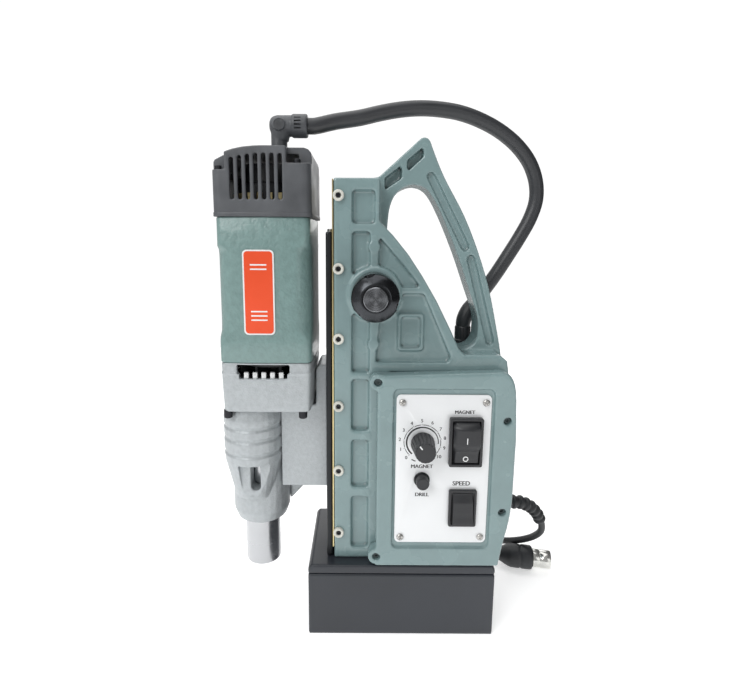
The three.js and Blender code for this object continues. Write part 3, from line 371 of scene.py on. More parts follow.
def smooth_way(points, step):
    """Centres about one step apart on a smooth curve through the points (centripetal)."""
    points = [Vector(p) for p in points]
    ends = [2 * points[0] - points[1], *points, 2 * points[-1] - points[-2]]
    centres = [points[0]]
    for a, b, c, d in zip(ends, ends[1:], ends[2:], ends[3:]):
        t0 = 0.0
        t1 = t0 + max((b - a).length, TINY) ** 0.5
        t2 = t1 + max((c - b).length, TINY) ** 0.5
        t3 = t2 + max((d - c).length, TINY) ** 0.5
        count = max(1, round((c - b).length / step))
        for i in range(1, count + 1):
            t = t1 + (t2 - t1) * i / count
            a1 = a * ((t1 - t) / (t1 - t0)) + b * ((t - t0) / (t1 - t0))
            a2 = b * ((t2 - t) / (t2 - t1)) + c * ((t - t1) / (t2 - t1))
            a3 = c * ((t3 - t) / (t3 - t2)) + d * ((t - t2) / (t3 - t2))
            b1 = a1 * ((t2 - t) / (t2 - t0)) + a2 * ((t - t0) / (t2 - t0))
            b2 = a2 * ((t3 - t) / (t3 - t1)) + a3 * ((t - t1) / (t3 - t1))
            centres.append(b1 * ((t2 - t) / (t2 - t1)) + b2 * ((t - t1) / (t2 - t1)))
    return centres


def piped(name, centres, radii, sides=24):
    """A round cord along centres, its rings carried along without twist; radii is one number or a list."""
    count = len(centres)
    heads = [(centres[min(i + 1, count - 1)] - centres[max(i - 1, 0)]).normalized() for i in range(count)]
    side = heads[0].orthogonal().normalized()
    rings = []
    for i, centre in enumerate(centres):
        if i:
            side = (side - heads[i] * side.dot(heads[i])).normalized()
        other = heads[i].cross(side)
        radius = radii[i] if isinstance(radii, list) else radii
        rings.append([
            centre + (side * math.cos(k * TURN / sides) + other * math.sin(k * TURN / sides)) * radius
            for k in range(sides)
        ])
    return lofted(name, rings, sharp=50)


# ---------------------------------------------------------------- Geometry Nodes for what repeats
def new_tree(name, sockets):
    tree = bpy.data.node_groups.new(name, "GeometryNodeTree")
    tree.interface.new_socket("Geometry", in_out="OUTPUT", socket_type="NodeSocketGeometry")
    tree.interface.new_socket("Geometry", in_out="INPUT", socket_type="NodeSocketGeometry")
    for label, kind in sockets:
        tree.interface.new_socket(label, in_out="INPUT", socket_type="NodeSocket" + kind)
    start = tree.nodes.new("NodeGroupInput")
    end = tree.nodes.new("NodeGroupOutput")
    return tree, start, end


def add_node(tree, kind, **values):
    made = tree.nodes.new(kind)
    for label, value in values.items():
        setattr(made, label, value)
    return made


def finish_tree(tree, start, end, instances):
    real = tree.nodes.new("GeometryNodeRealizeInstances")
    paint = tree.nodes.new("GeometryNodeSetMaterial")
    tree.links.new(instances, real.inputs[0])
    tree.links.new(real.outputs[0], paint.inputs["Geometry"])
    tree.links.new(start.outputs["Finish"], paint.inputs["Material"])
    tree.links.new(paint.outputs[0], end.inputs[0])


def heads_tree():
    """Puts a copy of a head at each point, each turned about one axis by its own random angle."""
    tree, start, end = new_tree("heads on places", [
        ("Head", "Object"), ("Turn axis", "Vector"), ("Most turn", "Float"), ("Seed", "Int"),
        ("Finish", "Material"),
    ])
    info = add_node(tree, "GeometryNodeObjectInfo")
    chance = add_node(tree, "FunctionNodeRandomValue", data_type="FLOAT")
    turn = add_node(tree, "ShaderNodeVectorMath", operation="SCALE")
    rotation = add_node(tree, "FunctionNodeEulerToRotation")
    copies = add_node(tree, "GeometryNodeInstanceOnPoints")
    link = tree.links.new
    # The random node's inputs[3] is its largest float, and outputs[1] is the float it gives.
    link(start.outputs["Head"], info.inputs["Object"])
    link(start.outputs["Most turn"], chance.inputs[3])
    link(start.outputs["Seed"], chance.inputs["Seed"])
    link(start.outputs["Turn axis"], turn.inputs[0])
    link(chance.outputs[1], turn.inputs["Scale"])
    link(turn.outputs[0], rotation.inputs[0])
    link(start.outputs["Geometry"], copies.inputs["Points"])
    link(info.outputs["Geometry"], copies.inputs["Instance"])
    link(rotation.outputs[0], copies.inputs["Rotation"])
    finish_tree(tree, start, end, copies.outputs[0])
    return tree


def ribs_tree():
    """Stands rings along a line, square to it, each a little smaller than the last."""
    tree, start, end = new_tree("ribs along a line", [
        ("Rib", "Object"), ("Count", "Int"), ("Last size", "Float"), ("Finish", "Material"),
    ])
    line = add_node(tree, "GeometryNodeMeshToCurve")
    even = add_node(tree, "GeometryNodeResampleCurve")
    points = add_node(tree, "GeometryNodeCurveToPoints", mode="EVALUATED")
    info = add_node(tree, "GeometryNodeObjectInfo")
    copies = add_node(tree, "GeometryNodeInstanceOnPoints")
    index = add_node(tree, "GeometryNodeInputIndex")
    size = add_node(tree, "ShaderNodeMapRange")
    align = add_node(tree, "FunctionNodeAlignRotationToVector", axis="Z")
    link = tree.links.new
    link(start.outputs["Geometry"], line.inputs[0])
    link(line.outputs[0], even.inputs["Curve"])
    link(start.outputs["Count"], even.inputs["Count"])
    link(even.outputs[0], points.inputs[0])
    link(points.outputs["Points"], copies.inputs["Points"])
    link(points.outputs["Tangent"], align.inputs["Vector"])
    link(align.outputs[0], copies.inputs["Rotation"])
    link(start.outputs["Rib"], info.inputs["Object"])
    link(info.outputs["Geometry"], copies.inputs["Instance"])
    link(index.outputs[0], size.inputs["Value"])
    link(start.outputs["Count"], size.inputs["From Max"])
    size.inputs["To Min"].default_value = 1
    link(start.outputs["Last size"], size.inputs["To Max"])
    link(size.outputs[0], copies.inputs["Scale"])
    finish_tree(tree, start, end, copies.outputs[0])
    return tree


def ticks_tree():
    """Flat bars round an arc in the XZ plane, pointing at its centre, which is the base mesh's point."""
    tree, start, end = new_tree("ticks round an arc", [
        ("Count", "Int"), ("Radius", "Float"), ("Start angle", "Float"), ("Sweep", "Float"),
        ("Bar", "Vector"), ("Finish", "Material"),
    ])
    link = tree.links.new
    points = add_node(tree, "GeometryNodePoints")
    index = add_node(tree, "GeometryNodeInputIndex")
    last = add_node(tree, "ShaderNodeMath", operation="SUBTRACT")
    share = add_node(tree, "ShaderNodeMath", operation="DIVIDE")
    swept = add_node(tree, "ShaderNodeMath", operation="MULTIPLY")
    angle = add_node(tree, "ShaderNodeMath", operation="SUBTRACT")
    flip = add_node(tree, "ShaderNodeMath", operation="MULTIPLY")
    euler = add_node(tree, "ShaderNodeCombineXYZ")
    rotation = add_node(tree, "FunctionNodeEulerToRotation")
    cube = add_node(tree, "GeometryNodeMeshCube")
    shift = add_node(tree, "ShaderNodeCombineXYZ")
    move = add_node(tree, "GeometryNodeTransform")
    copies = add_node(tree, "GeometryNodeInstanceOnPoints")
    spot = add_node(tree, "GeometryNodeInputPosition")
    sample = add_node(tree, "GeometryNodeSampleIndex", data_type="FLOAT_VECTOR", domain="POINT")
    last.inputs[1].default_value = 1
    flip.inputs[1].default_value = -1
    link(start.outputs["Count"], points.inputs["Count"])
    link(start.outputs["Geometry"], sample.inputs["Geometry"])
    link(spot.outputs[0], sample.inputs["Value"])
    link(sample.outputs[0], points.inputs["Position"])
    link(start.outputs["Count"], last.inputs[0])
    link(index.outputs[0], share.inputs[0])
    link(last.outputs[0], share.inputs[1])
    link(share.outputs[0], swept.inputs[0])
    link(start.outputs["Sweep"], swept.inputs[1])
    link(start.outputs["Start angle"], angle.inputs[0])
    link(swept.outputs[0], angle.inputs[1])
    link(angle.outputs[0], flip.inputs[0])
    link(flip.outputs[0], euler.inputs["Y"])
    link(euler.outputs[0], rotation.inputs[0])
    link(start.outputs["Bar"], cube.inputs["Size"])
    link(start.outputs["Radius"], shift.inputs["X"])
    link(cube.outputs["Mesh"], move.inputs["Geometry"])
    link(shift.outputs[0], move.inputs["Translation"])
    link(points.outputs[0], copies.inputs["Points"])
    link(move.outputs[0], copies.inputs["Instance"])
    link(rotation.outputs[0], copies.inputs["Rotation"])
    finish_tree(tree, start, end, copies.outputs[0])
    return tree


TREES = {}


def grown(name, tree_maker, points, edges=(), **values):
    """Runs a tree on a few points and keeps the result as a plain mesh."""
    if tree_maker not in TREES:
        TREES[tree_maker] = tree_maker()
    tree = TREES[tree_maker]
    mesh = bpy.data.meshes.new(name)
    mesh.from_pydata([Vector(p) * MM for p in points], list(edges), [])
    piece = bpy.data.objects.new(name, mesh)
    modifier = piece.modifiers.new("grow", "NODES")
    modifier.node_group = tree
    for item in tree.interface.items_tree:
        label = item.name.replace(" ", "_").lower()
        if item.in_out == "INPUT" and label in values:
            modifier[item.identifier] = values[label]
    scene.collection.objects.link(piece)
    return settle(piece, 35)


def heads(name, head, points, finish, body, slot, *nodes, turn_axis=(0, 1, 0), most_turn=TURN, seed=3):
    """One small shape repeated at the points, as one piece."""
    piece = grown(
        name, heads_tree, points, head=head, turn_axis=turn_axis, most_turn=most_turn, seed=seed,
        finish=MATERIALS[finish],
    )
    drop(head)
    return attach(piece, body, slot, *nodes)


# ---------------------------------------------------------------- effects that materials share
def new_group(name, inputs, outputs):
    tree = bpy.data.node_groups.new(name, "ShaderNodeTree")
    for label, kind, value in inputs:
        socket = tree.interface.new_socket(label, in_out="INPUT", socket_type="NodeSocket" + kind)
        if value is not None:
            socket.default_value = value
    for label, kind in outputs:
        tree.interface.new_socket(label, in_out="OUTPUT", socket_type="NodeSocket" + kind)
    start = tree.nodes.new("NodeGroupInput")
    end = tree.nodes.new("NodeGroupOutput")
    return tree, start, end


def noise_in(tree, vector, scale, detail=3.0, rough=0.5):
    made = tree.nodes.new("ShaderNodeTexNoise")
    made.inputs["Detail"].default_value = detail
    made.inputs["Roughness"].default_value = rough
    tree.links.new(vector, made.inputs["Vector"])
    if isinstance(scale, (int, float)):
        made.inputs["Scale"].default_value = scale
    else:
        tree.links.new(scale, made.inputs["Scale"])
    return made.outputs[0]


def math_in(tree, operation, a, b=None):
    made = tree.nodes.new("ShaderNodeMath")
    made.operation = operation
    for socket, value in zip(made.inputs, (a, b)):
        if value is None:
            continue
        if isinstance(value, (int, float)):
            socket.default_value = value
        else:
            tree.links.new(value, socket)
    return made.outputs[0]


def range_in(tree, value, low, high, to_low=0.0, to_high=1.0):
    made = tree.nodes.new("ShaderNodeMapRange")
    tree.links.new(value, made.inputs["Value"])
    ends = (("From Min", low), ("From Max", high), ("To Min", to_low), ("To Max", to_high))
    for label, number in ends:
        if isinstance(number, (int, float)):
            made.inputs[label].default_value = number
        else:
            tree.links.new(number, made.inputs[label])
    return made.outputs[0]


def lumps_group():
    """Lumpy surface of paint over a casting, or of hammered paint: long swells with short bumps."""
    tree, start, end = new_group(
        "lumpy skin",
        [("Vector", "Vector", None), ("Swell scale", "Float", 60.0), ("Bump scale", "Float", 400.0),
         ("Bump share", "Float", 0.5)],
        [("Height", "Float"), ("Mottle", "Float")],
    )
    swell = noise_in(tree, start.outputs["Vector"], start.outputs["Swell scale"], 2.0)
    bump = noise_in(tree, start.outputs["Vector"], start.outputs["Bump scale"], 1.5, 0.4)
    mixed = tree.nodes.new("ShaderNodeMix")
    tree.links.new(start.outputs["Bump share"], mixed.inputs["Factor"])
    tree.links.new(swell, mixed.inputs["A"])
    tree.links.new(bump, mixed.inputs["B"])
    tree.links.new(mixed.outputs["Result"], end.inputs["Height"])
    tree.links.new(range_in(tree, swell, 0.3, 0.7), end.inputs["Mottle"])
    return tree


def wear_group():
    """Masks of outer edges, for worn paint and painted highlight, and of concave corners, for painted shade.
    """
    tree, start, end = new_group(
        "rubbed edges",
        [("Vector", "Vector", None), ("Edge level", "Float", 0.56), ("Breakup", "Float", 120.0)],
        [("Edge", "Float"), ("Corner", "Float")],
    )
    shape = tree.nodes.new("ShaderNodeNewGeometry").outputs["Pointiness"]
    broken = noise_in(tree, start.outputs["Vector"], start.outputs["Breakup"], 4.0, 0.65)
    level = math_in(tree, "ADD", start.outputs["Edge level"], 0.06)
    edge = range_in(tree, shape, start.outputs["Edge level"], level)
    patchy = range_in(tree, broken, 0.42, 0.6)
    tree.links.new(math_in(tree, "MULTIPLY", edge, patchy), end.inputs["Edge"])
    # Painted shade: mask of concave corners.
    tree.links.new(range_in(tree, shape, 0.47, 0.40), end.inputs["Corner"])
    return tree


def specks_group():
    """Sparse small spots: pin holes, dust and scuffs."""
    tree, start, end = new_group(
        "sparse specks",
        [("Vector", "Vector", None), ("Scale", "Float", 90.0), ("Size", "Float", 0.1)],
        [("Mask", "Float")],
    )
    cells = tree.nodes.new("ShaderNodeTexVoronoi")
    cells.inputs["Randomness"].default_value = 1
    tree.links.new(start.outputs["Vector"], cells.inputs["Vector"])
    tree.links.new(start.outputs["Scale"], cells.inputs["Scale"])
    bits = tree.nodes.new("ShaderNodeSeparateColor")
    tree.links.new(cells.outputs["Color"], bits.inputs[0])
    chosen = math_in(tree, "GREATER_THAN", bits.outputs[0], 0.86)
    size = math_in(tree, "MULTIPLY", start.outputs["Size"], bits.outputs[1])
    spot = math_in(tree, "LESS_THAN", cells.outputs["Distance"], size)
    tree.links.new(math_in(tree, "MULTIPLY", chosen, spot), end.inputs["Mask"])
    return tree


def lines_group():
    """Fine tool lines: the vector is stretched along the cut before it comes in."""
    tree, start, end = new_group(
        "tool lines",
        [("Vector", "Vector", None), ("Scale", "Float", 900.0)],
        [("Height", "Float"), ("Shade", "Float")],
    )
    fine = noise_in(tree, start.outputs["Vector"], start.outputs["Scale"], 2.0)
    broad_scale = math_in(tree, "MULTIPLY", start.outputs["Scale"], 0.2)
    broad = noise_in(tree, start.outputs["Vector"], broad_scale, 3.0)
    tree.links.new(fine, end.inputs["Height"])
    tree.links.new(range_in(tree, broad, 0.3, 0.7), end.inputs["Shade"])
    return tree


GROUPS = {}


def effect(tree, maker, vector, **values):
    """Places a shared effect in a material with its own values."""
    if maker not in GROUPS:
        GROUPS[maker] = maker()
    made = tree.nodes.new("ShaderNodeGroup")
    made.node_tree = GROUPS[maker]
    tree.links.new(vector, made.inputs["Vector"])
    for label, value in values.items():
        made.inputs[label.replace("_", " ").capitalize()].default_value = value
    return made


def blank_material(name):
    material = bpy.data.materials.new(name)
    material.use_nodes = True
    return material, material.node_tree.nodes["Principled BSDF"]


def mix_colour(tree, a, b, mask):
    made = tree.nodes.new("ShaderNodeMix")
    made.data_type = "RGBA"
    for label, value in (("A", a), ("B", b)):
        socket = next(s for s in made.inputs if s.name == label and s.type == "RGBA")
        if isinstance(value, tuple):
            socket.default_value = (*value, 1)
        else:
            tree.links.new(value, socket)
    tree.links.new(mask, made.inputs["Factor"])
    return next(s for s in made.outputs if s.type == "RGBA")


def shaded(colour, factor):
    return tuple(min(1, c * factor) for c in colour)


def object_vector(tree, stretch=(1, 1, 1)):
    where = tree.nodes.new("ShaderNodeTexCoord").outputs["Object"]
    if stretch == (1, 1, 1):
        return where
    made = tree.nodes.new("ShaderNodeMapping")
    made.inputs["Scale"].default_value = stretch
    tree.links.new(where, made.inputs["Vector"])
    return made.outputs[0]


def bump_in(tree, shader, height, depth):
    """Bump in the shader's normal, its depth in mm."""
    made = tree.nodes.new("ShaderNodeBump")
    made.inputs["Distance"].default_value = depth * MM
    made.inputs["Strength"].default_value = 1
    tree.links.new(height, made.inputs["Height"])
    tree.links.new(made.outputs[0], shader.inputs["Normal"])


def coated(name, colour, roughness, lumps, metallic=0.0, coat=0.0, edge=None, edge_level=0.56,
           edge_amount=0.5, speck=None, speck_scale=90.0, speck_size=0.1, spread=0.10, corner_shade=0.3):
    """Paint, plastic, rubber or cast metal: lumps, mottled colour, worn edges with painted highlight, painted
    shade in concave corners, and specks.

    The lumps are the scale of the swells, the scale of the bumps, the bumps' share and the depth in mm.
    """
    swell, bump, share, depth = lumps
    material, shader = blank_material(name)
    tree = material.node_tree
    vector = object_vector(tree)
    skin = effect(tree, lumps_group, vector, swell_scale=swell, bump_scale=bump, bump_share=share)
    wear_highlight_and_shade = effect(tree, wear_group, vector, edge_level=edge_level)
    tone = mix_colour(tree, shaded(colour, 1 - spread), shaded(colour, 1 + spread), skin.outputs["Mottle"])
    # Painted shade: concave corners darkened towards a third of the colour, by the coat's corner strength.
    dim = math_in(tree, "MULTIPLY", wear_highlight_and_shade.outputs["Corner"], corner_shade)
    tone = mix_colour(tree, tone, shaded(colour, 0.35), dim)
    # Outer edges drawn toward the edge colour: worn paint and painted highlight.
    if edge:
        tone = mix_colour(tree, tone, edge, math_in(tree, "MULTIPLY", wear_highlight_and_shade.outputs["Edge"], edge_amount))
    if speck:
        spots = effect(tree, specks_group, vector, scale=speck_scale, size=speck_size)
        tone = mix_colour(tree, tone, speck, spots.outputs["Mask"])
    tree.links.new(tone, shader.inputs["Base Color"])
    rough = range_in(tree, skin.outputs["Mottle"], 0, 1, max(0.02, roughness - 0.05), roughness + 0.07)
    tree.links.new(rough, shader.inputs["Roughness"])
    shader.inputs["Metallic"].default_value = metallic
    shader.inputs["Coat Weight"].default_value = coat
    shader.inputs["Coat Roughness"].default_value = 0.12
    bump_in(tree, shader, skin.outputs["Height"], depth)
    return material


def machined(name, colour, roughness, depth, stretch=(1, 1, 1), scale=900.0, metallic=1.0, spread=0.18):
    """Turned, ground or brushed metal: lines run along the direction that the stretch leaves long."""
    edge_wear_and_highlight_gain, edge_amount = 1.5, 0.3
    material, shader = blank_material(name)
    tree = material.node_tree
    lines = effect(tree, lines_group, object_vector(tree, stretch), scale=scale)
    wear_highlight_and_shade = effect(tree, wear_group, object_vector(tree), edge_level=0.55)
    tone = mix_colour(tree, shaded(colour, 1 - spread), shaded(colour, 1 + spread), lines.outputs["Shade"])
    # Outer edges lighter: worn metal and painted highlight.
    worn_and_lit = math_in(tree, "MULTIPLY", wear_highlight_and_shade.outputs["Edge"], edge_amount)
    tone = mix_colour(tree, tone, shaded(colour, edge_wear_and_highlight_gain), worn_and_lit)
    tree.links.new(tone, shader.inputs["Base Color"])
    rough = range_in(tree, lines.outputs["Shade"], 0, 1, max(0.05, roughness - 0.06), roughness + 0.08)
    tree.links.new(rough, shader.inputs["Roughness"])
    shader.inputs["Metallic"].default_value = metallic
    bump_in(tree, shader, lines.outputs["Height"], depth)
    return material


def ring_cut(name, colour, roughness, centre, depth, fan):
    """A faced disc in the XZ plane: circles of tool marks about its centre, and a painted highlight, a
    lighter bow-tie fan about its centre.
    """
    circles, bow_tie_highlight_gain = 2600.0, 3.2
    material, shader = blank_material(name)
    tree = material.node_tree
    where = tree.nodes.new("ShaderNodeTexCoord").outputs["Object"]
    centred = tree.nodes.new("ShaderNodeMapping")
    centred.inputs["Location"].default_value = (-centre[0] * MM, 0, -centre[1] * MM)
    tree.links.new(where, centred.inputs["Vector"])
    flat = tree.nodes.new("ShaderNodeSeparateXYZ")
    tree.links.new(centred.outputs[0], flat.inputs[0])
    squares = [math_in(tree, "MULTIPLY", flat.outputs[k], flat.outputs[k]) for k in ("X", "Z")]
    radius = math_in(tree, "SQRT", math_in(tree, "ADD", *squares))
    line = tree.nodes.new("ShaderNodeCombineXYZ")
    tree.links.new(radius, line.inputs["X"])
    lines = effect(tree, lines_group, line.outputs[0], scale=circles)
    # Painted highlight: lighter in a bow-tie of four lobes about the centre.
    angle = math_in(tree, "ARCTAN2", flat.outputs["Z"], flat.outputs["X"])
    bow_tie_highlight = math_in(tree, "COSINE", math_in(tree, "MULTIPLY", angle, 2.0))
    bow_tie_highlight = math_in(tree, "POWER", math_in(tree, "ABSOLUTE", bow_tie_highlight), 3.0)
    tone = mix_colour(tree, shaded(colour, 0.85), shaded(colour, 1.15), lines.outputs["Shade"])
    tone = mix_colour(tree, tone, shaded(colour, bow_tie_highlight_gain), math_in(tree, "MULTIPLY", bow_tie_highlight, fan))
    tree.links.new(tone, shader.inputs["Base Color"])
    rough = range_in(tree, lines.outputs["Shade"], 0, 1, roughness - 0.05, roughness + 0.05)
    tree.links.new(rough, shader.inputs["Roughness"])
    shader.inputs["Metallic"].default_value = 1
    bump_in(tree, shader, lines.outputs["Height"], depth)
    return material


# In each coat the edge colour goes on outer edges as worn paint and painted highlight, and the corner
# strength darkens concave corners as painted shade.
COATS = {
    "frame_paint": dict(
        colour=(0.200, 0.292, 0.297), roughness=0.24, lumps=(55, 260, 0.22, 0.6), coat=0.6, spread=0.05,
        edge=(0.62, 0.70, 0.70), edge_level=0.57, edge_amount=0.55, corner_shade=1.8,
        speck=(0.03, 0.035, 0.035), speck_scale=75, speck_size=0.05,
    ),
    "motor_paint": dict(
        colour=(0.176, 0.276, 0.264), roughness=0.33, lumps=(230, 420, 0.55, 0.8), coat=0.35, spread=0.07,
        corner_shade=0,
    ),
    "magnet_paint": dict(
        colour=(0.027, 0.031, 0.039), roughness=0.40, lumps=(12, 700, 0.25, 0.12), coat=0.1, spread=0.14,
        edge=(0.30, 0.31, 0.32), edge_level=0.60, edge_amount=0.8, corner_shade=0,
        speck=(0.2, 0.21, 0.22), speck_scale=45, speck_size=0.05,
    ),
    "rail_black": dict(
        colour=(0.011, 0.013, 0.015), roughness=0.36, lumps=(30, 600, 0.3, 0.08), metallic=0.4, spread=0.15,
        edge=(0.2, 0.2, 0.21), edge_level=0.6, corner_shade=0,
    ),
    "cast_silver": dict(
        colour=(0.43, 0.46, 0.475), roughness=0.42, lumps=(300, 900, 0.5, 0.45), metallic=0.35, coat=0.15,
        spread=0.08, edge=(0.75, 0.76, 0.77), edge_amount=0.4, corner_shade=0.7,
        speck=(0.16, 0.16, 0.16), speck_scale=130, speck_size=0.08,
    ),
    "white_metal": dict(
        colour=(0.80, 0.81, 0.81), roughness=0.35, lumps=(200, 900, 0.5, 0.1), metallic=0.3, spread=0.06,
        corner_shade=0,
    ),
    "cap_plastic": dict(
        colour=(0.082, 0.087, 0.095), roughness=0.42, lumps=(50, 1500, 0.6, 0.12), spread=0.2,
        edge=(0.15, 0.155, 0.16), corner_shade=0.8,
    ),
    "switch_black": dict(
        colour=(0.022, 0.023, 0.026), roughness=0.36, lumps=(60, 1600, 0.5, 0.04), spread=0.12, corner_shade=0,
    ),
    "black_plastic": dict(
        colour=(0.022, 0.023, 0.026), roughness=0.34, lumps=(60, 1600, 0.5, 0.05), spread=0.12, corner_shade=0,
    ),
    "black_rubber": dict(
        colour=(0.026, 0.028, 0.031), roughness=0.46, lumps=(45, 900, 0.35, 0.10), spread=0.2,
        edge=(0.06, 0.06, 0.065), edge_amount=0.3,
    ),
    "hose_rubber": dict(
        colour=(0.034, 0.036, 0.040), roughness=0.38, lumps=(30, 700, 0.3, 0.12), spread=0.12, corner_shade=0,
    ),
    "panel_white": dict(
        colour=(0.84, 0.855, 0.865), roughness=0.34, lumps=(20, 1200, 0.3, 0.02), metallic=0.1, spread=0.02,
        corner_shade=0,
    ),
    "panel_print": dict(
        colour=(0.012, 0.012, 0.014), roughness=0.5, lumps=(60, 900, 0.3, 0.01), corner_shade=0,
    ),
    "white_print": dict(
        colour=(0.82, 0.83, 0.83), roughness=0.45, lumps=(60, 900, 0.3, 0.01), spread=0.05, corner_shade=0,
    ),
    "label_orange": dict(
        colour=(0.80, 0.080, 0.020), roughness=0.34, lumps=(30, 900, 0.4, 0.02), spread=0.04, corner_shade=0,
    ),
    "collar_cream": dict(
        colour=(0.66, 0.66, 0.60), roughness=0.4, lumps=(200, 900, 0.4, 0.05), corner_shade=0.5,
    ),
    "board_green": dict(
        colour=(0.04, 0.16, 0.07), roughness=0.4, lumps=(90, 700, 0.5, 0.05), spread=0.2, corner_shade=0,
    ),
}
METALS = {
    "screw_steel": dict(colour=(0.50, 0.49, 0.47), roughness=0.28, depth=0.02),
    # Dull painted-over screw heads, coloured well below the paint as painted shade of their deep recesses.
    "screw_dull": dict(colour=(0.09, 0.115, 0.118), roughness=0.45, depth=0.03, metallic=0.5),
    "screw_black": dict(colour=(0.03, 0.031, 0.035), roughness=0.36, depth=0.02, metallic=0.8),
    "bright_steel": dict(
        colour=(0.50, 0.51, 0.525), roughness=0.22, depth=0, stretch=(0.02, 0.02, 0.5), spread=0.03,
    ),
    "nickel": dict(colour=(0.66, 0.66, 0.63), roughness=0.2, depth=0.012, scale=700),
    "dark_steel": dict(colour=(0.055, 0.058, 0.063), roughness=0.24, depth=0.015, scale=500, spread=0.25),
    "brass": dict(colour=(0.62, 0.52, 0.28), roughness=0.32, depth=0.02, stretch=(1, 1, 0.05)),
    "copper": dict(colour=(0.60, 0.27, 0.12), roughness=0.35, depth=0.05, stretch=(1, 1, 12), scale=400),
}


def make_materials():
    made = {name: coated(name, **looks) for name, looks in COATS.items()}
    made.update({name: machined(name, **looks) for name, looks in METALS.items()})
    # The hub's faced disc, with its painted bow-tie highlight.
    made["hub_disc"] = ring_cut("hub_disc", (0.15, 0.155, 0.165), 0.26, HUB, depth=0.03, fan=0.4)
    return made


# ---------------------------------------------------------------- finishing touches on a piece
def attach(piece, body, slot, *nodes):
    """Body, record slot and the CAD nodes that the piece stands for; the record slot is not used."""
    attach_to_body(piece, body)
    if nodes:
        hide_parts(*nodes)
    return piece


def give(piece, material, body, slot, *nodes):
    """One material for the whole piece, then its body, slot and nodes; the slot is not used."""
    piece.data.materials.clear()
    piece.data.materials.append(MATERIALS[material])
    return attach(piece, body, slot, *nodes)


def make_cords():
    hose_line = smooth_way(HOSE_WAY, 4)
    hose = piped("hose", hose_line, HOSE_THICK / 2, 28)
    hose.data.materials.append(MATERIALS["hose_rubber"])
    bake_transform(hose)
    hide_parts("motor_hose")
    lead_line = smooth_way(LEAD_WAY, 3)
    lead = piped("supply_lead", lead_line, LEAD_THICK / 2, 20)
    give(lead, "black_rubber", "frame", "black_rubber", "power_cord")
    connector = make_connector()


def make_connector():
    """Moulded boot, plated shell with a ring, and the pins in it, lying on the floor."""
    start = Vector((108, 50.4, 12.4))
    along = (math.cos(0.2), -math.sin(0.2), 0)
    boot = turned("connector_boot_moulded", [
        (0, 0.2), (5.2, 0.2), (5.9, 1), (6.4, 3), (7.5, 6), (9.2, 9), (10.3, 11.6), (11.2, 13.6), (11.7, 16),
        (11.8, 22), (11.6, 24), (11.2, 24.6), (11.2, 25.6), (11.6, 26.2), (11.8, 27), (11.8, 34.2),
        (11.4, 35.8), (10.6, 36.7), (9.6, 37), (0, 37),
    ], along, start, 72, 40)
    give(boot, "black_rubber", "frame", "black_rubber", "connector_boot")
    shell = turned("connector_shell_plated", [
        (0, 37.3), (8.6, 37.3), (9, 37.7), (9, 43.4), (8.7, 43.8), (8.7, 44.6), (9, 45), (9, 54.4), (8.5, 55),
        (7.9, 55), (7.4, 54.4), (7.4, 46), (0, 46),
    ], along, start, 72, 40)
    give(shell, "nickel", "frame", "bright_steel", "connector_shell")
    across, up, forward = axes_of(along)
    pin = turned("pin", [(0, 0), (0.9, 0), (0.9, 6), (0.5, 6.8), (0, 6.9)], along, (0, 0, 0), 16)
    pin_circle, pin_root = 3.6, 46.1
    spots = [
        start + forward * pin_root + (across * math.cos(a) + up * math.sin(a)) * pin_circle
        for a in (math.radians(degrees) for degrees in (45, 135, 225, 315))
    ]
    pins = heads("connector_pins", pin, spots, "brass", "frame", "brass", turn_axis=(0, 0, 0))
    return [boot, shell, pins]


def make_relief():
    """Strain relief of the lead: a tapered core from a round foot, with nine ribs that get smaller."""
    core_radius, core_taper = 5.6, 1.3
    line = smooth_way(RELIEF_WAY, 2)
    count = len(line)
    radii = [core_radius - core_taper * i / (count - 1) for i in range(count)]
    core = piped("relief_core", line, radii, 24)
    root = bar((1, 0.07, 0.28), 6.9, 0, 6, RELIEF_WAY[0], 32)
    rounded(root, 0.8, 2)
    rib = turned("rib", [
        (0, -2.5), (4.5, -2.5), (5.9, -2.2), (6.75, -1.2), (6.95, 0), (6.75, 1.2), (5.9, 2.2), (4.5, 2.5),
        (0, 2.5),
    ], "z", (0, 0, 0), 32)
    places = line[4:-1]
    edges = [(i, i + 1) for i in range(len(places) - 1)]
    ribs = grown(
        "relief_ribs", ribs_tree, places, edges, rib=rib, count=9, last_size=0.86,
        finish=MATERIALS["black_rubber"],
    )
    drop(rib)
    relief = joined("strain_relief_ribbed", core, root, ribs)
    cast(relief, 0.6, 2)
    give(relief, "black_rubber", "frame", "black_rubber", "strain_relief")


def make_gland():
    """Gland nut on the shelf with grip flats, and the curved boot that the hose goes into."""
    x, y = GLAND
    nut = turned("gland_nut", [
        (0, 247.3), (8, 247.3), (8, 249.4), (7.2, 250), (7.2, 260.8), (6.6, 262), (0, 262),
    ], "z", (x, y, 0), 72, 40)
    grip_count, grip_circle = 12, 7.7
    grips = [
        bar("z", 0.9, 251, 263, (x + grip_circle * math.cos(a), y + grip_circle * math.sin(a), 0), 12)
        for a in (i * TURN / grip_count for i in range(grip_count))
    ]
    carved(nut, joined("grips", *grips))
    shade(nut, 35)
    give(nut, "black_plastic", "frame", "black_plastic", "hose_gland")
    boot_radius, boot_swell = 6.4, 0.7
    line = smooth_way(BOOT_WAY, 1.5)
    count = len(line)
    radii = [boot_radius + boot_swell * math.sin(math.pi * i / (count - 1)) for i in range(count)]
    boot = piped("gland_boot", line, radii, 32)
    rounded(boot, 0.5, 2, 50)
    give(boot, "black_rubber", "frame", "black_rubber")


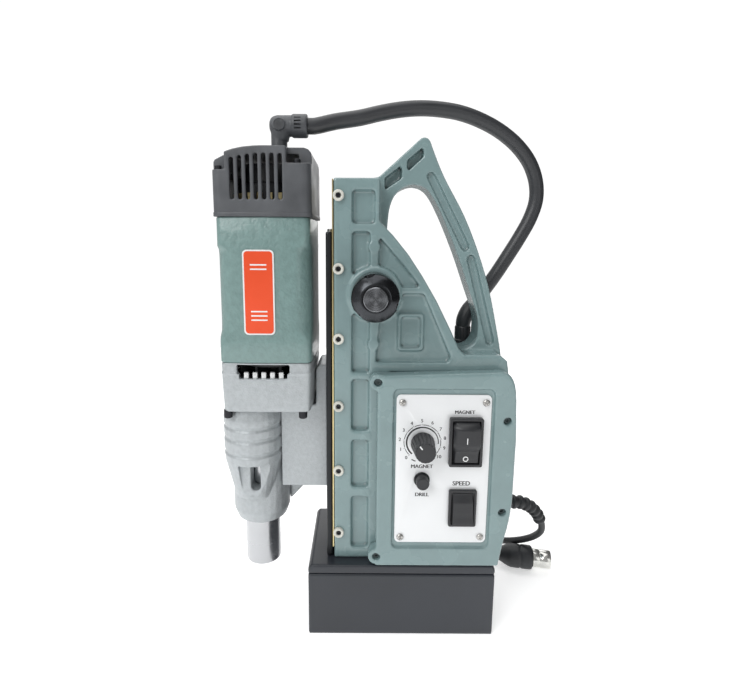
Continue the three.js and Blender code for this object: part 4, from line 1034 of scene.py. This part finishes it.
# ---------------------------------------------------------------- frame and magnet
def make_frame():
    casting = cast(copy_of("frame_cast", "frame_casting"), 1.1, 1, 0.5)
    give(casting, "frame_paint", "frame", "frame_paint", "frame_casting")
    rear = cast(copy_of("rear_cover_cast", "rear_cover"), 1.3, 3)
    give(rear, "frame_paint", "frame", "frame_paint", "rear_cover")
    collar = turned("collar", [
        (0, -0.9), (2.1, -0.9), (2.2, -2.3), (2.7, -2.9), (3.7, -3.0), (4.4, -2.4), (4.5, -0.3), (0, -0.3),
    ], "y", (0, 0, 0), 36)
    gib_screws = [f"gib_screw_{i}" for i in range(1, 7)]
    heights = [GIB_SCREW_LOW + GIB_SCREW_STEP * i for i in range(len(gib_screws))]
    places = [(GIB_SCREW_X, FRAME_FRONT, height) for height in heights]
    heads("gib_screw_collars", collar, places, "collar_cream", "frame", "screw_steel", *gib_screws)
    socket = turned("socket", [
        (0, -1.5), (0.9, -1.5), (1.05, -2.2), (1.9, -2.3), (2.0, -1.0), (0, -1.0),
    ], "y", (0, 0, 0), 6)
    heads("gib_screw_sockets", socket, places, "screw_black", "frame", "screw_steel")


def make_magnet():
    body = cast(copy_of("magnet_block", "magnet_body"), 1.3, 2)
    give(body, "magnet_paint", "frame", "magnet_paint", "magnet_body")
    top = cast(copy_of("magnet_lid", "magnet_top_plate"), 1.1, 2)
    give(top, "magnet_paint", "frame", "magnet_paint", "magnet_top_plate")


# ---------------------------------------------------------------- control box
def socket_screw(axis, radius, height):
    """Cap screw head with a hexagon socket, its base at the origin, standing along minus Y or plus Z."""
    sink = 1.5
    sign = -1 if axis == "y" else 1
    head = turned("head", [
        (0, 0), (radius, 0), (radius, sign * (height - 0.5)), (radius - 0.5, sign * height),
        (0, sign * height),
    ], axis, (0, 0, 0), 32)
    ends = sorted((sign * (height - sink), sign * (height + 1)))
    hexagon = bar(axis, radius * 0.58, *ends, (0, 0, 0), 6)
    carved(head, hexagon)
    shade(head, 30)
    return head


def cross_screw(radius):
    """Raised countersunk head with a cross recess."""
    head = turned("head", [
        (0, 0), (radius, 0), (radius, -0.5), (radius * 0.85, -1.15), (radius * 0.55, -1.6),
        (radius * 0.25, -1.8), (0, -1.85),
    ], "y", (0, 0, 0), 36)
    arm, half = radius * 0.5, 0.32
    carved(head, block(-arm, arm, -3, -0.9, -half, half), block(-half, half, -3, -0.9, -arm, arm))
    shade(head, 30)
    return head


def make_control_box():
    cover = cast(copy_of("control_cover_cast", "control_cover"), 0.9, 2)
    give(cover, "frame_paint", "frame", "frame_paint", "control_cover")
    places = [(x, COVER_FRONT + 5.6, z) for x, z in EAR_HOLES]
    # The ear screws are coloured dark as painted shade of the recesses they sit in.
    heads("cover_screws", socket_screw("y", 2.9, 2.2), places, "screw_dull", "frame", "screw_steel")
    places = [(x, PANEL_FRONT - 0.25, z) for x, z in PANEL_SCREWS]
    panel_screws = [f"panel_screw_{i}" for i in range(1, len(places) + 1)]
    heads("panel_screws", cross_screw(2.9), places, "screw_steel", "frame", "screw_steel", *panel_screws)
    plate = copy_of("panel_sheet", "panel_plate")
    rounded(plate, 0.25, 2, 50, 30)
    give(plate, "panel_white", "frame", "panel_white", "panel_plate")


def printed_text(name, words, x, z, height, lift):
    """Raised words on the panel, centred at (x, z), their capitals that height in mm."""
    capital_share, ink = 0.72, 0.02
    data = bpy.data.curves.new(name, "FONT")
    data.body = words
    data.size = height * MM / capital_share
    data.align_x = "CENTER"
    data.align_y = "CENTER"
    data.extrude = ink * MM
    data.resolution_u = 3
    piece = bpy.data.objects.new(name, data)
    scene.collection.objects.link(piece)
    bpy.context.view_layer.update()
    graph = bpy.context.evaluated_depsgraph_get()
    mesh = bpy.data.meshes.new_from_object(piece.evaluated_get(graph), depsgraph=graph)
    drop(piece)
    place = Matrix.Translation(Vector((x, PANEL_FRONT - 0.03 - lift, z)) * MM)
    mesh.transform(place @ Matrix.Rotation(math.pi / 2, 4, "X"))
    mesh.materials.clear()
    made = bpy.data.objects.new(name, mesh)
    scene.collection.objects.link(made)
    return made


def bold_text(name, words, x, z, height, spread):
    """The words printed three times, a little apart, so that their strokes are heavy."""
    lift, lift_step = 0.02, 0.008
    return [printed_text(name, words, x + i * spread, z, height, lift + lift_step * i) for i in (-1, 0, 1)]


def arc_band(name, centre, inner, outer, start, end, y0, y1, steps=48):
    """A flat band round a centre in the XZ plane, from one angle to another in degrees."""
    angles = [math.radians(start + (end - start) * i / steps) for i in range(steps + 1)]
    outside = [(centre[0] + outer * math.cos(a), centre[1] + outer * math.sin(a)) for a in angles]
    inside = [(centre[0] + inner * math.cos(a), centre[1] + inner * math.sin(a)) for a in reversed(angles)]
    return pushed(name, outside + inside, "y", y0, y1)


def make_panel_print():
    """The dial's bands, ticks and numbers, and the words by the controls."""
    skin = (PANEL_FRONT - 0.06, PANEL_FRONT - 0.01)
    parts = [
        arc_band("thick", DIAL, 12.2, 13.5, 230, 100, *skin),
        arc_band("middle", DIAL, 12.4, 13.5, 101, 45, *skin, 24),
        arc_band("thin", DIAL, 12.6, 13.4, 46, -5, *skin, 24),
        arc_band("start", DIAL, 16.5, 17.4, 252, 240, *skin, 8),
    ]
    step, gap = DIAL_SWEEP / DIAL_STEPS, 3
    for k in range(DIAL_STEPS):
        high = DIAL_START - k * step
        parts.append(arc_band("sweep", DIAL, 14.7, 15.25, high - gap, high - step + gap, *skin, 10))
    parts.append(grown(
        "ticks", ticks_tree, [(DIAL[0], PANEL_FRONT - 0.035, DIAL[1])], count=DIAL_STEPS + 1,
        radius=15.3 * MM, start_angle=math.radians(DIAL_START), sweep=math.radians(DIAL_SWEEP),
        bar=Vector((1.5, 0.04, 0.3)) * MM, finish=MATERIALS["panel_print"],
    ))
    for k in range(DIAL_STEPS + 1):
        a = math.radians(DIAL_START - k * step)
        x, z = DIAL[0] + 18.6 * math.cos(a), DIAL[1] + 18.4 * math.sin(a)
        parts += bold_text(f"number_{k}", str(k), x, z, 2.9, 0.09)
    words = (
        ("MAGNET", 14.6, 156.2, 3.2), ("DRILL", 15.2, 131.4, 3.2), ("MAGNET", 48.2, 202.8, 2.9),
        ("SPEED", 47.5, 141.4, 3.9),
    )
    for word, x, z, height in words:
        parts += bold_text("word", word, x, z, height, 0.17)
    give(joined("panel_printing", *parts), "panel_print", "frame", "black_plastic")


def make_bezel(name, node, centre, width, height, front):
    """The square frame of a rocker switch, its corners eased."""
    x, z = centre
    back = PANEL_FRONT - 0.3
    wall = 2.1
    outer = (x - width / 2, x + width / 2, z - height / 2, z + height / 2)
    bezel = pushed("bezel", rounded_box(*outer, 1.6), "y", front, back)
    inner = (outer[0] + wall, outer[1] - wall, outer[2] + wall, outer[3] - wall)
    carved(bezel, pushed("well", rounded_box(*inner, 0.8), "y", front - 2, back - 0.8))
    rounded(bezel, 0.5, 3, 40, 35)
    bezel.name = name
    give(bezel, "switch_black", "frame", "black_plastic", node)


def make_rocker(name, node, body, centre, width, reach, back, face, draft=0.0):
    """A rocker lofted down its length: face gives (share down, front Y), draft slopes its left side."""
    x, z = centre
    left, right = x - width / 2, x + width / 2
    chamfer, count = 0.6, 28
    levels = []
    for i in range(count + 1):
        share = i / count
        spots = next((a, b) for a, b in zip(face, face[1:]) if a[0] <= share <= b[0] + 1e-9)
        (start, start_front), (end, end_front) = spots
        u = (share - start) / (end - start)
        front = start_front + (end_front - start_front) * u * u * (3 - 2 * u)
        height = z + reach - 2 * reach * share
        lean = draft * max(0.0, (back - 4 - front) / 8)
        levels.append([
            (left, back, height), (left, min(back - 1, front + 3.5), height),
            (left + chamfer + lean, front, height), (right - chamfer, front, height),
            (right, front + 0.7, height), (right, back, height),
        ])
    rocker = lofted(name, levels, 40)
    rounded(rocker, 0.35, 2, 40, 35)
    rocker.name = name
    give(rocker, "switch_black", body, "black_plastic", node)


def switch_marks():
    """The bar and the ring on the upper rocker."""
    x, bar_front, bar_low, bar_high = 49.2, -56.4, 179.4, 184.4
    bar_mark = block(x - 0.35, x + 0.35, bar_front, bar_front + 0.5, bar_low, bar_high)
    ring_front, ring_height = -51.8, 165.0
    ring = turned("ring", [
        (1.5, -0.05), (2.25, -0.05), (2.25, 0.3), (1.5, 0.3), (1.5, -0.05),
    ], "y", (x, ring_front, ring_height), 40)
    marks = joined("switch_marks", bar_mark, ring)
    give(marks, "white_print", "magnet_rocker", "panel_white")


def make_switches():
    make_bezel("magnet_switch_bezel", "magnet_switch_body", MAGNET_SWITCH, 27, 41, front=-51.8)
    make_bezel("speed_switch_bezel", "speed_switch_body", SPEED_SWITCH, 23, 32.5, front=-49.9)
    make_rocker(
        "magnet_switch_paddle", "magnet_switch_rocker", "magnet_rocker", MAGNET_SWITCH, width=21.2,
        reach=17.3, back=-45.0, draft=6.0,
        face=[(0, -51.2), (0.14, -56.0), (0.52, -56.3), (0.78, -51.6), (1, -51.0)],
    )
    make_rocker(
        "speed_switch_paddle", "speed_switch_rocker", "speed_rocker", SPEED_SWITCH, width=17.2,
        reach=13.1, back=-43.2, face=[(0, -48.6), (0.33, -51.4), (0.66, -52.0), (1, -53.0)],
    )
    switch_marks()


def make_knob():
    """Fluted dial knob, and the white line on its front."""
    back = PANEL_FRONT - 1
    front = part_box("dial_knob")[0].y / MM
    sides, flutes, pointer_turn = 144, 18, -38
    levels = []
    for y, radius, flute in (
        (back, 9.2, 0), (back - 1.6, 9.7, 0), (back - 1.9, 9.7, 0.7), (back - 8, 9.2, 0.8),
        (front + 1.4, 8.2, 0.8), (front + 0.6, 8.1, 0.5), (front, 7.7, 0.1),
    ):
        ring = []
        for a in (i * TURN / sides for i in range(sides)):
            wave = abs(math.sin(a * flutes / 2))
            r = radius - flute * (1 - wave) ** 1.5
            ring.append((DIAL[0] + r * math.cos(a), y, DIAL[1] + r * math.sin(a)))
        levels.append(ring)
    knob = lofted("knob", levels, 40)
    give(knob, "black_plastic", "knob", "black_plastic", "dial_knob")
    mark = block(DIAL[0] - 0.5, DIAL[0] + 0.5, front - 0.06, front + 0.6, DIAL[1] + 4.2, DIAL[1] + 7.6)
    mark.name = "knob_pointer"
    turn = Matrix.Rotation(math.radians(pointer_turn), 4, "Y")
    centre = Matrix.Translation(Vector((DIAL[0], 0, DIAL[1])) * MM)
    mark.data.transform(centre @ turn @ centre.inverted())
    give(mark, "white_print", "knob", "panel_white")


def make_button():
    """Push button and the collar round it."""
    x, z = BUTTON
    back = PANEL_FRONT - 0.3
    bezel = turned("button_collar", [
        (5.8, back), (6.5, back), (6.5, back - 0.5), (6.2, back - 0.8), (5.9, back - 0.8),
        (5.8, back - 0.6), (5.8, back),
    ], "y", (x, 0, z), 48)
    give(bezel, "black_plastic", "frame", "black_plastic", "button_bezel")
    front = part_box("drill_button")[0].y / MM
    cap = turned("button_cap", [
        (0, front + 0.3), (3.2, front + 0.2), (4.4, front), (5.0, front + 0.3), (5.3, front + 1),
        (5.35, back + 2), (0, back + 2),
    ], "y", (x, 0, z), 48)
    give(cap, "black_plastic", "button", "black_plastic", "drill_button")


# ---------------------------------------------------------------- feed hub
def make_hub():
    """Turned hub with three holes for the feed handles, and the faced disc set in its front."""
    low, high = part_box("feed_hub")
    back, front = high.y / MM, low.y / MM
    radius = (high.x - low.x) / MM / 2
    disc = radius - 9
    hub = turned("feed_hub_turned", [
        (0, front + 1.5), (disc + 0.3, front + 1.5), (disc + 0.3, front + 0.3), (disc + 0.6, front),
        (disc + 2, front), (disc + 2.8, front + 0.4), (radius - 1.2, front + 4.2),
        (radius - 0.4, front + 5.4), (radius, front + 7), (radius, back - 0.6), (radius - 0.6, back),
        (0, back),
    ], "y", (HUB[0], 0, HUB[1]), 128, 30)
    holes, first_hole, hole_lean, hole_behind = 3, 105, -0.15, 10.5
    for i in range(holes):
        a = math.radians(first_hole + i * 360 / holes)
        hole = turned("hole", [
            (0, 7), (3.4, 7), (3.4, radius - 5), (3.9, radius - 3.8), (5.4, radius + 3), (0, radius + 3),
        ], (math.cos(a), hole_lean, math.sin(a)), (HUB[0], front + hole_behind, HUB[1]), 40)
        carved(hub, hole)
    shade(hub, 28)
    give(hub, "dark_steel", "hub", "dark_steel", "feed_hub")
    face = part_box("hub_face")[0].y / MM
    plate = turned("hub_disc_faced", [
        (0, face + 0.05), (disc - 0.7, face), (disc - 0.1, face + 0.5), (disc, front + 1.2), (0, front + 1.2),
    ], "y", (HUB[0], 0, HUB[1]), 96, 30)
    give(plate, "hub_disc", "hub", "dark_steel", "hub_face")


# ---------------------------------------------------------------- carriage
def crowned_ring(z, inset, radius, crown):
    """A rounded square about the motor's axis whose four sides bow outwards by the crown."""
    longest_corner_step, side_parts = 8, 12
    wide, deep = MOTOR_HALF_WIDTH, MOTOR_HALF_DEPTH
    corners = rounded_box(-wide + inset, wide - inset, -deep + inset, deep - inset, radius, 8)
    ring = []
    for (a, b), (c, d) in zip(corners, corners[1:] + corners[:1]):
        parts = side_parts if math.hypot(c - a, d - b) > longest_corner_step else 1
        ring += [(a + (c - a) * k / parts, b + (d - b) * k / parts) for k in range(parts)]
    return [
        (
            MOTOR_X + a * (1 - crown / wide * (b / deep) ** 2),
            b * (1 - crown / deep * (a / wide) ** 2),
            z,
        )
        for a, b in ring
    ]


def make_motor():
    """Painted housing: square ends with creases where it turns into the rounder middle."""
    low, high = MOTOR_LOW, MOTOR_HIGH
    bore, middle_rings, ring_step = 35, 8, 6
    rings = [  # height, inset, corner radius, crown
        (low, 1.0, 4, 1.4), (low + 0.8, 0.2, 4, 1.4), (low + 17, 0.1, 5, 1.4), (low + 20.5, 0.1, 6, 1.5),
        (low + 25, 0.0, 12, 1.8), (low + 30, 0, 13, 1.8),
        *((low + 34 + ring_step * i, 0, 13, 1.9) for i in range(middle_rings)),
        (high - 29, 0, 13, 1.9), (high - 25, 0, 12, 1.8), (high - 22, 0.3, 6, 1.4),
        (high - 19.5, 0.6, 5, 1.3), (high - 1, 0.6, 5, 1.3), (high, 1.2, 5, 1.3),
    ]
    housing = lofted("motor_housing_cast", [crowned_ring(*r) for r in rings], 60)
    carved(housing, bar("z", bore, low - 1, high + 1, (MOTOR_X, 0, 0), 64))
    shade(housing, 50)
    give(housing, "motor_paint", "carriage", "motor_paint", "motor_housing")


def make_label():
    """Orange label with a white border and plain white bars."""
    front = -MOTOR_HALF_DEPTH
    left, right, low, high, border_width = -128.4, -103.8, 264.6, 331.6, 1.2
    border = pushed("label_border", rounded_box(left, right, low, high, 3.5), "y", front - 0.65, front - 0.3)
    rounded(border, 0.12, 1)
    give(border, "white_print", "carriage", "panel_white", "motor_label")
    inside = (left + border_width, right - border_width, low + border_width, high - border_width)
    field = pushed("label_field", rounded_box(*inside, 2.8), "y", front - 0.8, front - 0.68)
    give(field, "label_orange", "carriage", "label_orange")
    bar_left, bar_right, bar_height = -122.5, -109.7, 1.1
    bars = [
        block(bar_left, bar_right, front - 0.86, front - 0.82, z, z + bar_height)
        for z in (276, 279.4, 282.8, 316, 319.4)
    ]
    give(joined("label_bars", *bars), "white_print", "carriage", "panel_white")


def cap_cutters(left, right, depth):
    """The hollow of the cap, the steps at its corners and the slots in its front and back."""
    wall = 3.0
    cutters = [
        block(left + wall, right - wall, -depth + wall, depth - wall, CAP_LOW - 1, CAP_HIGH - 20),
        block(left + 14, right - 10, -depth + wall, depth - wall, CAP_LOW, CAP_HIGH - 5),
    ]
    right_step, left_step, step_depth = -93.2, -140, 8.5
    slot_half, slot_depth = 1.6, 7
    for side in (-1, 1):
        outer, inner = sorted((side * (depth + 1), side * (depth - step_depth)))
        cutters.append(block(right_step, right + 1, outer, inner, 396.6, CAP_HIGH + 1))
        cutters.append(block(left - 1, left_step, outer, inner, 391.6, CAP_HIGH + 1))
        for i, top in enumerate(CAP_SLOT_TOPS):
            x = CAP_SLOT_FIRST + CAP_SLOT_STEP * i
            outline = rounded_box(x - slot_half, x + slot_half, CAP_SLOT_LOW, top, 1.55)
            low, high = sorted((side * (depth + 2), side * (depth - slot_depth)))
            cutters.append(pushed("slot", outline, "y", low, high))
    return cutters


def make_cap():
    """Slotted end cap of the motor with a sloping left shoulder, its lip and its screws."""
    left, right = MOTOR_X - MOTOR_HALF_WIDTH, MOTOR_X + MOTOR_HALF_WIDTH
    depth = MOTOR_HALF_DEPTH
    outline = [
        (left, CAP_LOW), (right, CAP_LOW), (right, CAP_HIGH - 7), (right - 0.8, CAP_HIGH - 3.4),
        (right - 2.8, CAP_HIGH - 1.2), (right - 6, CAP_HIGH), (-112, CAP_HIGH), (-120, CAP_HIGH - 0.4),
        (-127, CAP_HIGH - 1.2), (-134, CAP_HIGH - 2.7), (-140, CAP_HIGH - 4.7), (-145, CAP_HIGH - 7.1),
        (left + 1.2, CAP_HIGH - 9.4), (left + 0.2, CAP_HIGH - 10.6), (left, CAP_HIGH - 12),
    ]
    cap = pushed("motor_cap_moulded", outline, "y", -depth - 1, depth + 1)
    shell = pushed("shell", rounded_box(left, right, -depth, depth, 6.5), "z", CAP_LOW - 1, CAP_HIGH + 1)
    carved(cap, shell, mode="INTERSECT")
    carved(cap, *cap_cutters(left, right, depth))
    cast(cap, 0.75, 2)
    give(cap, "cap_plastic", "carriage", "black_plastic", "motor_cap")
    out, under = 0.4, 1
    lip_outline = rounded_box(left - out, right + out, -depth - out, depth + out, 7)
    lip = pushed("cap_lip", lip_outline, "z", CAP_LOW, CAP_LOW + 3.4)
    inner_outline = rounded_box(left + under, right - under, -depth + under, depth - under, 6)
    carved(lip, pushed("inner", inner_outline, "z", CAP_LOW - 1, CAP_LOW + 5))
    rounded(lip, 0.5, 2, 40, 35)
    give(lip, "cap_plastic", "carriage", "black_plastic")
    places = [(x, s * (depth - 4.4), z) for x, z in ((-85.4, 396.6), (-145.6, 391.6)) for s in (-1, 1)]
    screw = socket_screw("z", 2.7, 3.2)
    heads("cap_screws", screw, places, "screw_black", "carriage", "screw_steel", turn_axis=(0, 0, 1))


def make_brush_gear():
    """What shows behind the cap's slots: a dark end frame with a ring of brass clips round it."""
    drum = turned("end_frame", [
        (0, 357.2), (31, 357.2), (31, 361), (27, 363), (27, 383), (23, 385), (23, 399), (0, 399),
    ], "z", (MOTOR_X, 0, 0), 48)
    give(drum, "black_plastic", "carriage", "black_plastic")
    clip = pushed("clip", rounded_box(-1.3, 1.3, -2.2, 2.2, 0.5, 3), "z", 361, 376)
    clip_count, clip_circle = 22, 28.4
    spots = [
        (MOTOR_X + clip_circle * math.cos(a), clip_circle * math.sin(a), 0)
        for a in (i * TURN / clip_count for i in range(clip_count))
    ]
    heads("brush_clips", clip, spots, "brass", "carriage", "brass", turn_axis=(0, 0, 1), seed=7)


def make_elbow():
    """Swivel elbow on the cap: upright stem, rounded corner, slotted collar."""
    x, y, z = ELBOW
    body_end, collar_end = -91, -79.4
    foot = turned("foot", [(0, 409.4), (8.6, 409.4), (8.6, 410.2), (7.6, 411), (0, 411)], "z", (x, y, 0), 64)
    stem = bar("z", 6.4, 409.6, z, (x, y, 0), 64)
    body = turned("body", [
        (0, x - 7.4), (3.5, x - 7.2), (6, x - 6), (7.4, x - 3.8), (8.1, x - 1), (8.1, body_end),
        (0, body_end),
    ], "x", (0, y, z), 64)
    flare = turned("flare", [(0, 417), (6.4, 417), (7.9, 424), (0, 426)], "z", (x + 1.2, y, 0), 48)
    collar = turned("collar", [
        (0, body_end - 0.6), (8.5, body_end - 0.6), (9.1, body_end), (9.1, collar_end - 0.8),
        (8.4, collar_end), (0, collar_end),
    ], "x", (0, y, z), 64)
    boss = bar("y", 4.9, -9.4, 0, (x + 1, y, z), 40)
    elbow = joined("hose_elbow_moulded", foot, stem, body, flare, collar, boss)
    cast(elbow, 0.5, 3)
    slot_left, slot_right, slot_half = -89.4, -84.2, 0.55
    slots = [
        block(slot_left, slot_right, y - 10, y - 7.0, z + d - slot_half, z + d + slot_half)
        for d in (5.1, 2.4, -0.3, -3.0)
    ]
    pit = bar("y", 3.9, y - 10, y - 8.9, (x + 1, 0, z), 40)
    carved(elbow, joined("slots", *slots), pit)
    shade(elbow, 40)
    give(elbow, "cap_plastic", "carriage", "black_plastic", "hose_elbow")


def make_gearbox():
    """Silver gear case: bowed sides, a raised seam, a toothed window and screws under its edge."""
    low, high = GEARS_LOW, GEARS_HIGH
    seam = high - 8.4
    wall, corner, crown, spindle_hole = 4.5, 4, 1.4, 9.2
    skin = [  # height, inset
        (low, 2.6), (low + 0.8, 1.7), (low + 3, 1.4), (low + 16, 0.9), (seam - 3, 0.5), (seam - 1.0, 0.5),
        (seam - 0.6, 0.0), (seam + 0.2, 0.0), (seam + 0.6, 0.6), (high - 0.6, 0.5), (high, 0.9),
    ]
    case = lofted("gear_case_cast", [crowned_ring(z, inset, corner, crown) for z, inset in skin], 60)
    inside = ((low + 4, 1.6), (low + 16, 1.2), (high + 1, 0.8))
    carved(case, lofted("cavity", [crowned_ring(z, inset + wall, 3, crown) for z, inset in inside], 60))
    carved(case, bar("z", spindle_hole, low - 1, low + 5, (SPINDLE_X, 0, 0), 48))
    left, right = MOTOR_X - 23.4, MOTOR_X + 19.1
    for side in (-1, 1):
        y0, y1 = sorted((side * (MOTOR_HALF_DEPTH + 1), side * (MOTOR_HALF_DEPTH - 9)))
        carved(case, block(left, right, y0, y1, high - 9.0, high - 1.4))
        carved(case, block(left + 1.6, right - 1.8, y0, y1, high - 13.2, high - 8.8))
    cast(case, 0.7, 1, 0.7)
    give(case, "cast_silver", "carriage", "cast_silver", "gearbox_housing")
    make_gearbox_trim(left, right)


def make_gearbox_trim(left, right):
    """The posts in the window and the screws under the case's edge."""
    post = pushed("post", rounded_box(-1.9, 1.9, -1.6, 1.6, 0.6, 3), "z", 0, 5.2)
    rounded(post, 0.4, 2, 40)
    post_count, post_y, post_low = 5, 38.6, GEARS_HIGH - 13.4
    spots = [
        (left + (i + 1) * (right - left) / (post_count + 1), side * post_y, post_low)
        for i in range(post_count)
        for side in (-1, 1)
    ]
    heads(
        "window_posts", post, spots, "white_metal", "carriage", "cast_silver", turn_axis=(0, 0, 1),
        most_turn=0.12, seed=5,
    )
    places = [(x, y, GEARS_LOW + 0.2) for x in (-145.6, -83.6) for y in (-36.2, 36.2)]
    head = turned("head", [
        (0, 0.4), (3.5, 0.4), (3.5, -5.6), (3.0, -6.2), (1.8, -6.2), (1.8, -3.4), (0, -3.4),
    ], "z", (0, 0, 0), 32)
    heads("gear_case_screws", head, places, "screw_black", "carriage", "screw_steel", turn_axis=(0, 0, 1))


def make_bracket():
    bracket = cast(copy_of("bracket_cast", "carriage_bracket"), 0.9, 3)
    give(bracket, "cast_silver", "carriage", "cast_silver", "carriage_bracket")


def make_nose():
    nose = cast(copy_of("nose_cast", "spindle_housing"), 0.65, 2)
    give(nose, "cast_silver", "carriage", "cast_silver", "spindle_housing")


def make_spindle():
    """Ground spindle with the cutter's socket in its end and a cross hole for the grub screw."""
    low, socket_top, shoulder, top = SPINDLE_LOW, SPINDLE_LOW + 52, 193.4, 214.4
    spindle = turned("spindle_turned", [
        (0, top), (7, top), (7, shoulder), (15.2, shoulder), (15.7, shoulder - 0.4), (15.7, low + 0.9),
        (15.5, low + 0.3), (15.0, low), (10.2, low), (9.55, low + 0.8), (9.55, socket_top), (0, socket_top),
    ], "z", (SPINDLE_X, 0, 0), 128, 30)
    carved(spindle, bar("x", 3.2, SPINDLE_X - 17, SPINDLE_X - 3, (0, 0, low + 17), 32))
    shade(spindle, 30)
    give(spindle, "bright_steel", "spindle", "bright_steel", "spindle")


def make_rail():
    rail = cast(copy_of("slide_rail_ground", "slide_rail"), 1.1, 1)
    give(rail, "rail_black", "carriage", "rail_black", "slide_rail")
    places = [(-61.6, side * 22, 345.7) for side in (-1, 1)]
    screw = socket_screw("z", 2.2, 2.4)
    heads("rail_screws", screw, places, "screw_steel", "carriage", "screw_steel", turn_axis=(0, 0, 1))


# ---------------------------------------------------------------- CAD nodes that stay as they are
def dress_cad_nodes():
    """Finishes of the inner parts."""
    finishes = {
        "copper": ["magnet_coil_1", "magnet_coil_2"],
        "black_plastic": ["motor_fan", "brush_carrier"],
        "screw_steel": ["speed_potentiometer", "gearbox_plate", "motor_stator", "spindle_bearing"],
        "bright_steel": ["pinion_shaft", "feed_rack", "output_gear", "intermediate_gear"],
        "dark_steel": ["motor_armature"],
        "brass": ["gib_front", "gib_rear", "hub_bush"],
        "board_green": ["circuit_board"],
    }
    for finish, nodes in finishes.items():
        for name in nodes:
            for slot in NODES[name].material_slots:
                slot.material = MATERIALS[finish]


MATERIALS = make_materials()
set_up_camera()
make_cords()
set_up_light()
lay_floor()
make_relief()
make_gland()
make_frame()
make_magnet()
make_control_box()
make_panel_print()
make_switches()
make_knob()
make_button()
make_hub()
make_motor()
make_label()
make_cap()
make_brush_gear()
make_elbow()
make_gearbox()
make_bracket()
make_nose()
make_spindle()
make_rail()
dress_cad_nodes()
